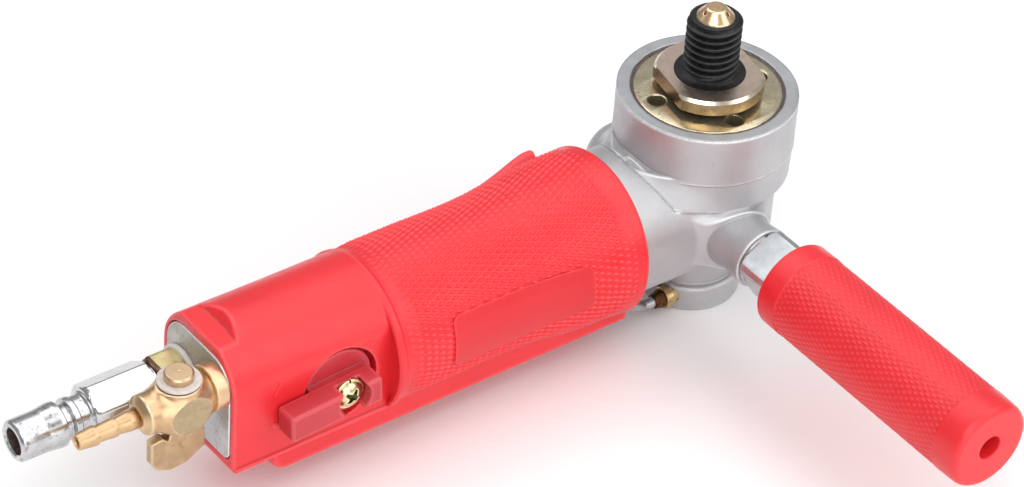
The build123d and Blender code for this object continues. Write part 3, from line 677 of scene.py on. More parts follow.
def block_face():
    """Milled grey rear block, plain grey low down, browner and darker toward its top edge."""
    m = Nodes("block_alu").set(Metallic=0.85)
    z = m.t.nodes.new("ShaderNodeSeparateXYZ")
    m.link(m.co, z.inputs[0])
    up = m.math("ADD", m.span(z.outputs["Z"], -0.046, -0.026, 0.0, 1.0), m.span(m.noise(130, 4), 0.3, 0.7, -0.35, 0.35), True)
    c = m.ramp(m.noise(170, 4), [(0.3, (0.50, 0.49, 0.50)), (0.7, (0.62, 0.61, 0.62))])
    c = m.mix(m.span(up, 0.0, 1.0, 0.0, 0.75), c, (0.40, 0.365, 0.30))
    c = m.mix(m.span(m.noise(900, 2, 0.5), 0.60, 0.67, 0.0, 0.5), c, (0.20, 0.165, 0.13))
    c = m.mix(m.span(m.noise(1300, 2, 0.5), 0.66, 0.72, 0.0, 0.5), c, (0.86, 0.86, 0.86))
    w = m.attr()
    # the rim of the outer face is whitened as a painted highlight on its chamfer
    c = m.mix(m.span(w, 0.08, 0.8, 0.0, 0.9), c, (0.92, 0.92, 0.92))
    m.color(c)
    m.rough(m.span(m.noise(380, 4), 0.3, 0.7, 0.40, 0.56))
    m.bump([(m.noise(2400, 3), 0.2, 0.00006)])
    return m.mat


PLATE = block_face()
STEEL = metal("bright_steel", (0.52, 0.53, 0.54), (0.66, 0.67, 0.68), (0.2, 0.34), 300, 1.0, ((0.3, 0.3, 0.3), 1200, 0.66, 0.3), 0.06)
SCREW = metal("yellow_zinc_screw", (0.66, 0.56, 0.24), (0.80, 0.74, 0.42), (0.16, 0.28), 420, 1.0, ((0.45, 0.52, 0.28), 800, 0.58, 0.5), 0.06, None, ((0.98, 0.94, 0.74), 0.6))
# dark olive for the screw's cross recess: painted shade
SCREW_RECESS_SHADE = metal("screw_recess_shade", (0.10, 0.11, 0.045), (0.20, 0.20, 0.09), (0.3, 0.44), 420, 1.0, None, 0.06)
NUT_RING = metal("nut_ring", (0.52, 0.36, 0.17), (0.66, 0.48, 0.25), (0.24, 0.38), 420, 1.0, ((0.28, 0.17, 0.08), 620, 0.60, 0.5), 0.1, None, ((0.90, 0.74, 0.46), 0.6))
NUT = metal("nut_brass", (0.06, 0.026, 0.012), (0.15, 0.07, 0.03), (0.22, 0.36), 420, 1.0, ((0.17, 0.08, 0.03), 520, 0.52, 0.75), 0.12, None, ((0.88, 0.68, 0.38), 0.5))


def dull(name, c0, c1, rough, scale, bump, ior=1.5, fine=1800):
    m = Nodes(name).set(Metallic=0.0, IOR=ior)
    n = m.noise(scale, 4)
    m.color(m.ramp(n, [(0.3, c0), (0.7, c1)]))
    m.rough(m.span(m.noise(scale * 2, 3), 0.3, 0.7, rough[0], rough[1]))
    m.bump([(m.noise(fine, 3), bump, 0.0001)])
    return m.mat


WASHER = dull("washer_fibre", (0.55, 0.49, 0.45), (0.68, 0.62, 0.57), (0.4, 0.55), 700, 0.15)
WHITE = dull("white_plastic", (0.62, 0.59, 0.54), (0.74, 0.72, 0.67), (0.35, 0.5), 500, 0.15)
# dark speckled fill for the retainer gap: painted shade
GAP_SHADE = dull("gap_shade", (0.045, 0.033, 0.036), (0.15, 0.115, 0.115), (0.5, 0.75), 1500, 0.6)
RUBBER = dull("seal_rubber", (0.010, 0.010, 0.010), (0.022, 0.022, 0.022), (0.5, 0.7), 600, 0.2)
FELT = dull("felt", (0.20, 0.19, 0.17), (0.34, 0.32, 0.29), (0.85, 0.98), 1500, 0.8)
LAMINATE = dull("vane_laminate", (0.22, 0.10, 0.04), (0.34, 0.17, 0.07), (0.45, 0.6), 900, 0.25)
# dark brown for the inside of the air plug's bore: painted shade
BORE_SHADE = dull("bore_shade", (0.035, 0.022, 0.020), (0.12, 0.075, 0.065), (0.4, 0.6), 900, 0.5)
# near-black for the bottoms of the retainer's spanner holes: painted shade
HOLE_SHADE = dull("hole_shade", (0.012, 0.010, 0.010), (0.030, 0.026, 0.024), (0.5, 0.7), 800, 0.2)

# ------------------------------------------------------------------ gear head casting
BOWL_LOW = -31.6
BOSS_PROF = curve([(-37.2, 9.35), (-36.4, 9.4), (-35.0, 9.3), (-33.0, 9.05), (-31.0, 8.9), (-29.0, 8.95), (-26.0, 9.2), (-10.0, 9.6)])


def head_field(x, y, z):
    rz, rx = np.hypot(x, y), np.hypot(y, z - ZA)
    low = np.where(rz > 25.5, BOWL_LOW + 0.53 * (rz - 25.5), BOWL_LOW - 0.94 * (25.5 - rz))
    under = (low - z) / 1.25
    cup = smax(smax(rz - CUP_R, z - CUP_TOP, 0.6), CUP_LOW - z, 0.3)
    bowl = smax(smax(rz - 26.0 + 0.055 * np.maximum(CUP_LOW - z, 0.0), under, 0.7), z + 20.0, 0.3)
    core = np.minimum(cup, bowl)
    core = smin(core, np.hypot(rz - CUP_R + 0.22, z - CUP_LOW) - 0.35, 0.25)
    neck = smax(rx - NECK_R, np.hypot(np.maximum(x, 0.0), y) - 22.2, 2.0)
    neck = smax(neck, -37.0 - x, 0.4)
    # shallow step of the neck round the bowl, and the flare that runs up to the bowl
    step = np.maximum(np.maximum(rz - 29.9, NECK_R - 0.75 - rx), under)
    cut_neck = smax(neck, -step, 0.35)
    off = np.clip(1.0 - np.maximum(rx - NECK_R + 0.75, 0.0) / 7.0, 0.0, 1.0)
    off = off * np.clip((-2.0 - x) / 8.0, 0.0, 1.0)
    flare = smax(smax(rz - 25.7 - 4.1 * off ** 2, under, 0.6), z + 20.6, 0.4) * 0.7
    b = smin(smin(core, cut_neck, 0.6), flare, 0.35)
    b = smin(b, rbox(x, y, z, -30.8, -25.0, -0.55, 0.55, -30.0, -20.0, 0.4), 0.7)
    col = np.maximum(rz - 13.0, np.maximum(-75.0 - z, z - ZA))
    b = smin(b, col, 1.6)
    base = smax(smax(rz - 15.15, z + 67.8, 1.3), -76.1 - z, 0.9)
    b = smin(b, base, 0.5)
    ry = np.hypot(x - XH, z - ZA)
    body = smin(neck, col, 1.6)
    fil = rmin(body, np.maximum(ry - 9.95, y), 8.0)
    fil = np.where(y < 0, smax(fil, rz - 27.6, 0.3), 50.0)
    far = np.maximum(round_cyl(np.hypot(x + 6.0, z + 46.5), y, 10.4, 35.8, 6.2), -y)
    fil2 = np.where(y > 0, smax(rmin(body, far, 5.0), rz - 29.3, 0.4), 50.0)
    boss1 = smax(smax(ry - BOSS_PROF(y), BOSS_END - y, 0.4), y + 15.0, 1.0)
    b = smin(smin(b, fil, 0.7), boss1, 0.4)
    b = smin(smin(b, fil2, 0.7), far, 0.35)
    b = smin(b, rbox(x, y, z, -8.0, -4.0, 10.0, 27.5, -46.0, -22.0, 1.4), 2.0)
    b = smax(b, -np.maximum(rz - 22.15, -14.0 - z), 0.4)
    b = smax(b, -np.maximum(np.hypot(y - NUT_Y, z - NUT_Z) - 3.9, x + 13.3), 0.5)
    b = smax(b, -np.maximum(np.abs(rz - 10.8) - 0.45, z + 75.6), 0.3)
    return b


hm = Mesh()
V, F, W = field_mesh(head_field, (-38.6, -38.0, -77.2), (28.0, 37.0, -4.6), 0.42)
mid = V[np.array(F)].mean(1)
top_face = (mid[:, 2] > CUP_TOP - 0.22)
vr = np.hypot(V[:, 0], V[:, 1])
# the edge mask (worn paint, painted highlight and painted shade) is kept full on the cup and round the neck's ridge and
# weakened elsewhere
W = W * np.where((V[:, 2] > -23.5) | ((np.abs(vr - 29.9) < 1.0) & (V[:, 2] > -30.5)), 1.0, np.where(V[:, 1] < -22.0, 0.9, 0.4))
hm.add(V, F, 0, None, W)
hm.m = [1 if q else 0 for q in top_face]
HEAD = hm.build("gear_head_casting", [SILVER, RIM], "housing", "silver_cast", ["gear_head_housing"], 0, fix=False)

# ------------------------------------------------------------------ bearing retainer with pin-spanner holes
rt = Mesh()
holes = [circle(11.6, 72)]
for a in (168.5, 78.5, -11.5, -101.5):
    q = math.radians(a)
    holes.append(circle(2.6, 28, (16.3 * math.cos(q), 16.3 * math.sin(q))))
V, F, flat = plate(circle(21.4, 128), holes, -12.6, -6.4, 0.1, 0.4, lambda a, b, h: (a, b, h), 3)
rt.add(V, F, 0, flat, np.where((V[:, 2] > -6.75) & (V[:, 2] < -6.41), 0.5, 0.0))
# each spanner hole is closed by a near-black cup: painted shade inside the hole
for a in (168.5, 78.5, -11.5, -101.5):
    q = math.radians(a)
    V, F = lathe([(-12.4, 2.75), (-11.2, 2.7), (-11.4, 1.6), (-11.7, 0.0)], "z", (16.3 * math.cos(q), 16.3 * math.sin(q)), 24)
    rt.add(*compact(V, F), 1)
# a dark ring of uneven width laid over the gap between retainer and rim: painted shade of the gap
rs = np.random.RandomState(7)
nn = 260
tt = np.arange(nn) * 2 * PI / nn
wob = np.zeros((2, nn))
for kk in range(2, 46):
    am, phs = rs.uniform(0.2, 1.0, 2) / (1 + 0.08 * kk), rs.uniform(0, 2 * PI, 2)
    wob += am[:, None] * np.sin(kk * tt[None, :] + phs[:, None])
wob /= np.abs(wob).max()
rows = []
for rr, zc in ((21.1, -7.2), (21.28, -6.52), (21.62, -6.36), (21.95, -6.2), (22.22 , -6.02), (22.4, -6.6)):
    edge_in, edge_out = (1.0 if rr < 21.4 else 0.0), (1.0 if 22.0 < rr < 22.3 else 0.0)
    R = rr - 0.10 * edge_in * wob[0] + 0.26 * edge_out * np.maximum(wob[1], -0.2)
    zz = zc + 0.05 * wob[1] * (1.0 if rr > 21.5 else 0.4) - 0.02
    rows.append(np.stack([R * np.cos(tt), R * np.sin(tt), np.minimum(zz, -5.97) if np.ndim(zz) else np.full(nn, zz)], 1))
rt.add(np.vstack(rows), grid_faces(len(rows), nn, True), 2)
rt.build("bearing_retainer_ring", [GOLD, HOLE_SHADE, GAP_SHADE], "housing", "zinc_yellow", ["bearing_retainer"], 30)

# ------------------------------------------------------------------ spindle with its thread
sp = Mesh()
zz = np.concatenate([[-13.4, -6.0, -0.6, 0.0, 0.18], np.arange(0.25, 18.61, 0.085), [18.6]])
nt = 120
Z, T = np.meshgrid(zz, np.arange(nt) * 2 * PI / nt, indexing="ij")
ph = (Z - PITCH * T / (2 * PI)) / PITCH + 0.35
tri = 2 * np.abs(ph - np.floor(ph + 0.5))
dep = np.clip((tri - 0.14) / 0.58, 0, 1)
dep = dep * dep * (3 - 2 * dep) * 0.35 + dep * 0.65
R = 7.9375 - 1.38 * dep
R = np.minimum(R, 6.85 + (18.6 - Z) * 1.05)
q = np.clip((Z - 0.2) / 2.3, 0, 1)
R = np.maximum(R, np.where(Z < 2.5, 9.95 - 3.35 * np.sqrt(np.maximum(1 - (1 - q) ** 2, 0)), 0.0))
R = np.where(Z <= 0.2, 10.2, R)
V = axis_map("z", Z, R, T, (0, 0)).reshape(-1, 3)
crest = np.clip((R - 7.5) / 0.43, 0, 1) * ((Z > 2.4) & (Z < 17.8))
sp.add(V, grid_faces(len(zz), nt, True), 0, None, (crest * 0.9).reshape(-1))
V, F = lathe(rounded([(18.6, 6.86), (18.75, 6.5, 0.15), (18.75, 5.5, 0.1), (18.3, 4.2)], 3), "z", (0, 0), 96)
sp.add(V, F, 0, None, np.full(len(V), 0.25))
V, F = lathe([(-67.5, 2.5), (-67.5, 5.6), (-67.1, 6.0), (-36.6, 6.0), (-36.2, 7.5), (-13.4, 7.5), (-13.4, 10.2)], "z", (0, 0), 64)
sp.add(V, F, 0)
sp.build("threaded_spindle", [BLACK], "spindle_set", "black_steel", ["spindle"], 40)

# ------------------------------------------------------------------ wrench flange
def flange_shape(t):
    q = (t - math.radians(169.0)) % PI
    q = np.minimum(q, PI - q)
    return np.minimum(13.5 / np.maximum(np.cos(q), 0.05), 16.0)


corner = math.acos(13.5 / 16.0)
corner_top = math.acos(13.5 / 15.2)
ft = []
for s0 in (0, 1):
    m0 = math.radians(169.0) + PI * s0
    ft += [m0 + corner_top * k / 16 for k in range(-16, 17)] + [m0 + corner, m0 - corner, m0 + corner + 0.004, m0 - corner - 0.004]
    ft += [m0 + corner + (PI - 2 * corner) * k / 56 for k in range(1, 56)]
ft = sorted(set(round(q % (2 * PI), 6) for q in ft))
V, F, flat = polar(flange_shape, [(-4.6, 15.7), (-4.35, 16.0), (-0.85, 16.0), (0.0, 15.2)], "z", (0, 0), ft, False, False)
nf = len(ft)
V2, F2 = lathe([(-4.6, 10.3), (0.0, 10.3)], "z", (0, 0), nf)
V2[:, :2] = np.concatenate([np.stack([10.3 * np.cos(ft), 10.3 * np.sin(ft)], 1)] * 2)
fl = Mesh()
allv = np.vstack([V, V2])
b0 = len(V)
topf = [[3 * nf + j, 3 * nf + (j + 1) % nf, b0 + nf + (j + 1) % nf, b0 + nf + j] for j in range(nf)]
botf = [[j, (j + 1) % nf, b0 + (j + 1) % nf, b0 + j] for j in range(nf)]
inner = [[b0 + j, b0 + (j + 1) % nf, b0 + nf + (j + 1) % nf, b0 + nf + j] for j in range(nf)]
on_flat = lambda f: all(abs(abs(allv[i][0] * math.cos(math.radians(169)) + allv[i][1] * math.sin(math.radians(169))) - 13.5) < 0.02 for i in f)
cham = lambda f: any(allv[i][2] > -0.1 for i in f) and not on_flat(f)
F = [f for f in F if len(set(tuple(np.round(allv[i], 5)) for i in f)) > 2]
# chamfer faces take the paler painted-highlight copy of the flange metal
mats = [3 if cham(f) else (2 if on_flat(f) else 1) for f in F]
fl.add(allv, F + topf + botf + inner, 0, None, np.zeros(len(allv)))
fl.m = mats + [0] * nf + [1] * nf + [1] * nf
fl.build("wrench_flange_ring", [FLANGE, FLANGE_SIDE, FLANGE_FLAT, FLANGE_CHAMFER_HIGHLIGHT], "spindle_set", "flange_zinc", ["wrench_flange"], 18)

# ------------------------------------------------------------------ water nozzle
NOZ = [math.radians(a) for a in (-67.5, 52.5, 172.5)]


def nozzle_field(x, y, z):
    r = np.hypot(x, y)
    d = smax(r - 5.6, (r - 5.6) * 0.7347 + (z - 18.8) * 0.6784, 0.25)
    d = smax(d, z - 21.8, 0.3)
    d = smax(d, 18.3 - z, 0.1)
    d = smax(d, 0.12 - np.hypot(np.abs(z - 18.95), np.minimum(r - 5.55, 0.0)), 0.1)
    for t in NOZ:
        ux, uy, uz = math.cos(t) * 0.7071, math.sin(t) * 0.7071, 0.7071
        px, py, pz = x, y, z - 17.1
        k = px * ux + py * uy + pz * uz
        rad = np.sqrt(np.maximum(px * px + py * py + pz * pz - k * k, 0))
        d = smax(d, -np.maximum(rad - 0.62, 3.4 - k), 0.12)
    return d


V, F, W = field_mesh(nozzle_field, (-6.0, -6.0, 17.9), (6.0, 6.0, 22.2), 0.15, 3, 0.5)
Mesh().add(V, F, 0, None, W).build("nozzle_tip", [COPPER], "spindle_set", "brass", ["water_nozzle"], 0, fix=False)

# ------------------------------------------------------------------ knurled sleeves
def knurl(axis, c, r_of, a0, a1, n, La, H, sign=1.0, mask=None, inset=0.11, flat_at=0.34, clampz=None, valley_shade=0.1, tip_highlight=0.6):
    """Diamond pyramids on a sleeve: rows half a pitch apart along the axis, n diamonds round it."""
    Lt = 2 * PI / n
    k0, k1 = int(math.floor(2 * a0 / La)), int(math.ceil(2 * a1 / La))
    ks = np.arange(k0, k1 + 1)
    nk = len(ks)
    Vr, hr = [], []
    for k in ks:
        m = 2 * np.arange(n) + (k % 2)
        Vr.append(np.stack([np.full(n, La * k / 2), Lt * m / 2, np.zeros(n)], 1))
    P = [np.vstack(Vr)]

    def idx(k, m):
        m = np.mod(m, 2 * n)
        return (k - k0) * n + (m - np.mod(k, 2)) // 2
    K, J = np.meshgrid(ks[:-2], np.arange(n), indexing="ij")
    K, J = K.ravel(), J.ravel()
    Mm = 2 * J + np.mod(K, 2)
    cor = [idx(K, Mm), idx(K + 1, Mm + 1), idx(K + 2, Mm), idx(K + 1, Mm - 1)]
    uv = [(inset, inset, 0.0), (1 - inset, inset, 0.0), (1 - inset, 1 - inset, 0.0), (inset, 1 - inset, 0.0)]
    g = flat_at
    uv += [(g, g, 0.82), (1 - g, g, 0.82), (1 - g, 1 - g, 0.82), (g, 1 - g, 0.82), (0.5, 0.5, 1.0)]
    base = nk * n
    cells = len(K)
    mk = np.ones(cells) if mask is None else mask(La * (K + 1) / 2, Lt * Mm / 2)
    for u, v, h in uv:
        P.append(np.stack([La * (K + u + v) / 2, Lt * (Mm + u - v) / 2, h * mk], 1))
    P = np.vstack(P)
    a, t, h = P[:, 0], P[:, 1], P[:, 2]
    R = r_of(a) - H + H * h
    V = axis_map(axis, sign * a, R, t, c)
    if clampz is not None:
        V[:, 2] = np.maximum(V[:, 2], clampz)
    q = [base + i * cells + np.arange(cells) for i in range(9)]
    F = []
    for i in range(4):
        j = (i + 1) % 4
        F.append(np.stack([cor[i], cor[j], q[j], q[i]], 1))
        F.append(np.stack([q[i], q[j], q[4 + j], q[4 + i]], 1))
    F = np.vstack(F).tolist() + np.vstack([np.stack([q[4 + i], q[4 + (i + 1) % 4], q[8]], 1) for i in range(4)]).tolist()
    # pyramid tips get a paler mask value as a painted highlight and the valleys a negative one as painted shade
    return V, F, np.clip(h * (tip_highlight + valley_shade) - valley_shade, -valley_shade, tip_highlight)


r_tip = curve(GRIP)


def phi_of(t):
    """Angle from the top toward the handle side, in degrees, -180..180."""
    d = np.degrees(-t)
    return (d + 180) % 360 - 180


def grip_mask(a, t):
    p = phi_of(t)
    return np.clip((126 - np.abs(p)) / 14, 0, 1) * np.clip((a + 119.2) / 7.0, 0.25, 1)


gr = Mesh()
V, F, W = knurl("x", (0.0, ZA), lambda a: r_tip(a) + 0.04, -123.5, -36.2, 78, 4.67, 0.74, 1.0, grip_mask, 0.15, 0.43, -65.05, 0.06, 0.72)
keep = [f for f in F if -121.6 < V[f, 0].mean() and V[f, 0].max() < -38.9]
gr.add(*compact(V, keep), 0, None, W[np.unique(np.concatenate([np.array(f) for f in keep]))])


def lathe_clamped(prof, n=160):
    V, F = lathe(prof, "x", (0.0, ZA), n)
    V[:, 2] = np.maximum(V[:, 2], -65.1)
    return V, F


front = rounded([(-46.5, 24.4), (-45.2, 24.75, 1.0), (-41.2, 25.22, 3.0), (-38.2, 25.36, 0.9), (-37.2, 24.5, 0.6), (-37.2, 21.0, 0.2), (-45.0, 20.6)], 5)
V, F = lathe_clamped(front)
gr.add(V, F, 1)
rear = rounded([(-116.0, 22.4), (-119.1, 22.75, 0.3), (-119.8, 23.35, 0.6), (-121.5, 23.42, 0.5), (-122.1, 22.9, 0.2), (-122.1, 22.0, 0.15), (-121.2, 21.8, 0.2), (-121.2, 15.0)], 5)
V, F = lathe_clamped(rear)
gr.add(V, F, 1)
# smooth raised panel on the near side; its edges and step are tinted paler as a painted highlight
x0, x1, p0, p1, rc = -103.4, -56.4, 62.0, 103.4, 2.6
s0, s1 = math.radians(p0) * 23.4, math.radians(p1) * 23.4


low_of = curve([(-104.0, 62.0), (-80.0, 62.5), (-56.0, 65.3)])
high_of = curve([(-104.0, 103.5), (-84.0, 103.3), (-70.0, 100.6), (-56.0, 95.8)])


def panel_t(x, s):
    """Angle about the motor axis of a panel point given along x and across by s."""
    v = (s - s0) / (s1 - s0)
    return -math.radians(float(low_of(x)) + v * float(high_of(x) - low_of(x)))


def panel(off, lift):
    rows = []
    a0, a1, b0, b1, r = x0 + off, x1 - off, s0 + off, s1 - off, max(rc - off, 0.3)
    ks = [b0 + r * (1 - math.cos(k * PI / 16)) for k in range(9)]
    ks = ks + list(np.linspace(b0 + r, b1 - r, 22))[1:-1] + [b1 - r * (1 - math.cos(k * PI / 16)) for k in range(8, -1, -1)]
    for s in ks:
        e = max(b0 + r - s, s - (b1 - r), 0.0)
        dx = r - math.sqrt(max(r * r - e * e, 0.0))
        rows.append((s, a0 + dx, a1 - dx))
    return rows


cols = 60
V, nrow = [], 0
for s, a, b in panel(0.18, 0):
    for k in range(cols + 1):
        x = a + (b - a) * k / cols
        V.append(axis_map("x", np.array(x), np.array(float(r_tip(x)) + 0.03), np.array(panel_t(x, s)), (0.0, ZA)))
    nrow += 1
V = np.array(V)
F = grid_faces(nrow, cols + 1, False)
edge = [k for k in range(cols + 1)] + [r * (cols + 1) + cols for r in range(1, nrow)] + [(nrow - 1) * (cols + 1) + k for k in range(cols - 1, -1, -1)] + [r * (cols + 1) for r in range(nrow - 2, 0, -1)]
cen = V[edge].mean(0)
rows2 = panel(0.0, 0)
out2 = []
for q in edge:
    r, k = divmod(q, cols + 1)
    s, a, b = rows2[r]
    x = a + (b - a) * k / cols
    out2.append((x, s))
wearp = np.zeros(len(V))
wearp[edge] = 0.45
extra = []
for lift in (-0.12, -0.75):
    extra.append(np.array([axis_map("x", np.array(x), np.array(float(r_tip(x)) + lift), np.array(panel_t(x, s)), (0.0, ZA)) for x, s in out2]))
nb = len(V)
ne = len(edge)
V = np.vstack([V] + extra)
for i in range(ne):
    j = (i + 1) % ne
    F.append([edge[i], edge[j], nb + j, nb + i])
    F.append([nb + i, nb + j, nb + ne + j, nb + ne + i])
gr.add(V, F, 2, None, np.concatenate([wearp, np.full(ne, 0.5), np.zeros(ne)]))


# ------------------------------------------------------------------ smooth rear shell, keel and exhaust hump
def shell_field(x, y, z):
    t = np.clip((x + 172.3) / 51.3, 0, 1)
    zs, cr = -31.5 + 3.5 * t, -16.3 - 1.1 * t
    h = cr - zs
    rho = (17.5 ** 2 + h * h) / (2 * h)
    zc = cr - rho
    d = smax(np.hypot(y, np.maximum(z - zc, 0.0)) - rho, np.abs(y) - 17.5, 1.0)
    d = smax(d, -56.5 - z, 1.4)
    d = smax(d, -172.3 - x, 0.9)
    d = smax(d, x + 120.4, 0.6)
    cut = np.maximum(-19.0 - z, (x + 165.4 + 0.09 * np.abs(y - 1.4) - (z + 19.0) * 0.87) / 1.325)
    d = smax(d, -cut, 0.45)
    lip = rbox(x, y, z, -171.9, -121.5, -18.0, 18.0, -56.6, -55.4, 0.45)
    d = smin(d, lip, 0.4)
    d = smax(d, -np.maximum(rrect(y, z, 15.6, -54.1, -22.0, 8.5, 3.0), x + 161.0), 0.4)
    rec = np.maximum(np.hypot(x - KNOB_X, z - KNOB_Z) - RECESS_R, y + 15.0)
    d = smax(d, -rec, 0.4)
    ring = np.maximum(np.abs(np.hypot(x - KNOB_X, z - KNOB_Z) - 11.3) - 0.6, y + 12.5)
    d = smax(d, -ring, 0.15)
    rk = np.where(x < -97.0, 5.0, 1.0)
    qx, qz = np.abs(x + 96.8) - 61.2 + rk, np.maximum(-65.2 - z, z + 44.0) + rk
    keel = np.hypot(np.maximum(qx, 0), np.maximum(qz, 0)) + np.minimum(np.maximum(qx, qz), 0.0) - rk
    keel = smax(keel, np.abs(y) - 15.5, 1.7)
    keel = smax(keel, -np.maximum(np.hypot(y, z - ZA) - NECK_R - 0.15, -37.3 - x), 0.2)
    keel = smax(keel, -np.maximum(np.hypot(y, z - ZA) - 20.5, -118.0 - x), 0.2)
    d = smin(d, keel, 0.7)
    return d


V, F, W = field_mesh(shell_field, (-173.4, -19.2, -66.2), (-34.6, 19.2, -15.2), 0.5)
gr.add(V, F, 1, None, W)
hump_r = curve([(-72.0, 22.6), (-70, 23.2), (-65, 24.2), (-60, 25.3), (-55, 26.6), (-51, 27.6), (-48.4, 28.0), (-44.0, 28.0)])


def hump_field(x, y, z):
    r = np.hypot(y, z - ZA)
    th = np.arctan2(y, z - ZA)
    t0, t1 = math.radians(47), math.radians(105)
    d = r - hump_r(x)
    d = smax(d, r * np.sin(t0 - th), 1.6)
    d = smax(d, r * np.sin(th - t1), 1.6)
    d = smax(d, x + 45.7, 1.0)
    d = smax(d, -71.5 - x, 0.5)
    d = smax(d, 21.0 - r, 0.3)
    for a in (62, 76, 90):
        q = math.radians(a)
        tau, rad = r * np.sin(th - q), r * np.cos(th - q)
        d = smax(d, -np.maximum(np.maximum(np.abs(tau) - 2.3, np.abs(rad - 26.0) - 0.75), -53.0 - x), 0.35)
    return d


V, F, W = field_mesh(hump_field, (-72.6, 10.0, -52.0), (-44.8, 29.4, -12.0), 0.5)
gr.add(V, F, 1, None, W)


# plain raised marks beside the lever: one dot, one bar, short ticks, tinted slightly paler as a painted highlight
def mark(u0, w0, u1, w1, half=0.32, hgt=0.22):
    d = np.array([u1 - u0, w1 - w0])
    L = np.linalg.norm(d)
    d = d / L
    nn = np.array([-d[1], d[0]])
    loop = []
    for k in range(9):
        a = PI / 2 + PI * k / 8
        loop.append((u0 + half * (math.cos(a) * d[0] + math.sin(a) * nn[0]), w0 + half * (math.cos(a) * d[1] + math.sin(a) * nn[1])))
    for k in range(9):
        a = -PI / 2 + PI * k / 8
        loop.append((u1 + half * (math.cos(a) * d[0] + math.sin(a) * nn[0]), w1 + half * (math.cos(a) * d[1] + math.sin(a) * nn[1])))
    V, F, flat = plate(loop, [], 0.0, hgt + 0.3, 0.02, 0.14, lambda a, b, h: (a, -17.2 - h, b), 3)
    return V, F


for m4 in ((-159.3, -45.2, -159.29, -45.21, 0.85), (-159.3, -35.0, -157.6, -31.7, 0.3), (-129.7, -30.6, -128.2, -30.1, 0.28), (-125.4, -40.7, -124.2, -40.5, 0.28)):
    V, F = mark(*m4[:4], half=m4[4])
    gr.add(V, F, 1, None, np.full(len(V), 0.3))
GRIPOB = gr.build("grip_moulding", [RED_RIB, RED, RED_PANEL_SHADED], "housing", "red_grip", ["grip_shell"], 34)

# ------------------------------------------------------------------ rear block of the motor housing
bl = Mesh()
lp = []
for cy, cz, r, a0 in ((12.3, -50.8, 3, -90), (6.9, -30.7, 8.4, 0), (-6.9, -30.7, 8.4, 90), (-12.3, -50.8, 3, 180)):
    for k in range(9):
        t = math.radians(a0 + 90 * k / 8)
        lp.append((cy + r * math.cos(t), cz + r * math.sin(t)))
V, F, flat = plate(lp, [], 0.0, 12.0, 0.2, 0.45, lambda a, b, h: (-160.5 - h, a, b), 4)
# rim of the outer face marked for a near-white edge colour: painted highlight on the chamfer
bl.add(V, F, 0, flat, np.where((V[:, 0] < -171.98) & (V[:, 0] > -172.46), 0.9, 0.0))
V, F = lathe([(-119.5, 0.0), (-119.5, 20.2), (-37.3, 20.2), (-37.3, 17.5), (-60.0, 17.5)], "x", (0.0, ZA), 96)
bl.add(*compact(V, F), 0)
bl.build("motor_housing_block", [PLATE], "housing", "block_alu", ["motor_housing"], 30)

# ------------------------------------------------------------------ throttle lever and its screw
KNOB_C, KNOB_S = math.cos(math.radians(3.5)), math.sin(math.radians(3.5))


def knob_field(x, y, z):
    u, w = x - KNOB_X, z - KNOB_Z
    r = np.hypot(u, w)
    p, q = u * KNOB_C + w * KNOB_S, w * KNOB_C - u * KNOB_S
    d = smax(smax(r - 10.8, -16.4 + 0.3 * np.clip(1 - r / 9.0, 0, 1) - y, 0.5), y + 15.3, 0.2)
    foot = smax(rbox(p, y, q, -12.0, 8.0, -19.5, -15.9, -4.3, 3.6, 0.3), r - 10.75, 0.4)
    d = smin(d, foot, 0.5)
    bar = rbox(p, y, q, -20.7, 8.8, -25.1, -17.9, -4.5, 3.8, 0.85)
    d = smin(d, bar, 0.4)
    d = smax(d, -np.maximum(r - 5.1, y + 20.6), 0.5)
    d = smax(d, -np.maximum(r - 2.1, y + 18.0), 0.2)
    return d


V, F, W = field_mesh(knob_field, (-159.6, -26.2, -53.6), (-125.6, -14.4, -28.6), 0.36)
Mesh().add(V, F, 0, None, W).build("throttle_lever", [RED_KNOB], "throttle_set", "red_knob", ["throttle_knob"], 0, fix=False)


def screw_field(x, y, z):
    u, w = x - KNOB_X, z - KNOB_Z
    r = np.hypot(u, w)
    d = np.sqrt(r * r + (y + 18.3) ** 2) - 5.5
    d = smax(d, r - 3.8, 0.35)
    d = smax(d, y + 21.7, 0.1)
    for a in (35, 125):
        t = math.radians(a)
        p, q = u * math.cos(t) - w * math.sin(t), u * math.sin(t) + w * math.cos(t)
        slot = np.maximum(np.maximum(np.abs(q) - 0.95 + 0.22 * np.abs(p), np.abs(p) - 2.75 + (y + 23.8) * 0.6), y + 22.1)
        d = smax(d, -slot, 0.12)
    ring = smax(smax(np.abs(r - 3.5) - 1.25, y + 20.6, 0.2), -21.8 - y, 0.25)
    ring = smax(ring, -np.maximum(np.abs(u + 0.25 * (y + 21.2)) - 0.28, -w), 0.1)
    d = np.minimum(d, ring)
    shank = np.maximum(np.maximum(r - 1.95, y + 16.0), -21.8 - y)
    return np.minimum(d, shank)


V, F, W = field_mesh(screw_field, (-143.1, -24.4, -46.3), (-132.7, -15.6, -35.9), 0.13, 3, 0.4)
sc = Mesh().add(V, F, 0, None, W)
mid = V[np.array(F)].mean(1)
mr = np.hypot(mid[:, 0] - KNOB_X, mid[:, 2] - KNOB_Z)
# faces inside the cross recess take the dark recess material: painted shade
sc.m = [1 if q else 0 for q in (np.hypot(mr, mid[:, 1] + 18.3) < 5.22) & (mr < 3.3) & (mid[:, 1] < -21.95)]
sc.build("lever_screw", [SCREW, SCREW_RECESS_SHADE], "throttle_set", "zinc_yellow", ["throttle_screw"], 0, fix=False)

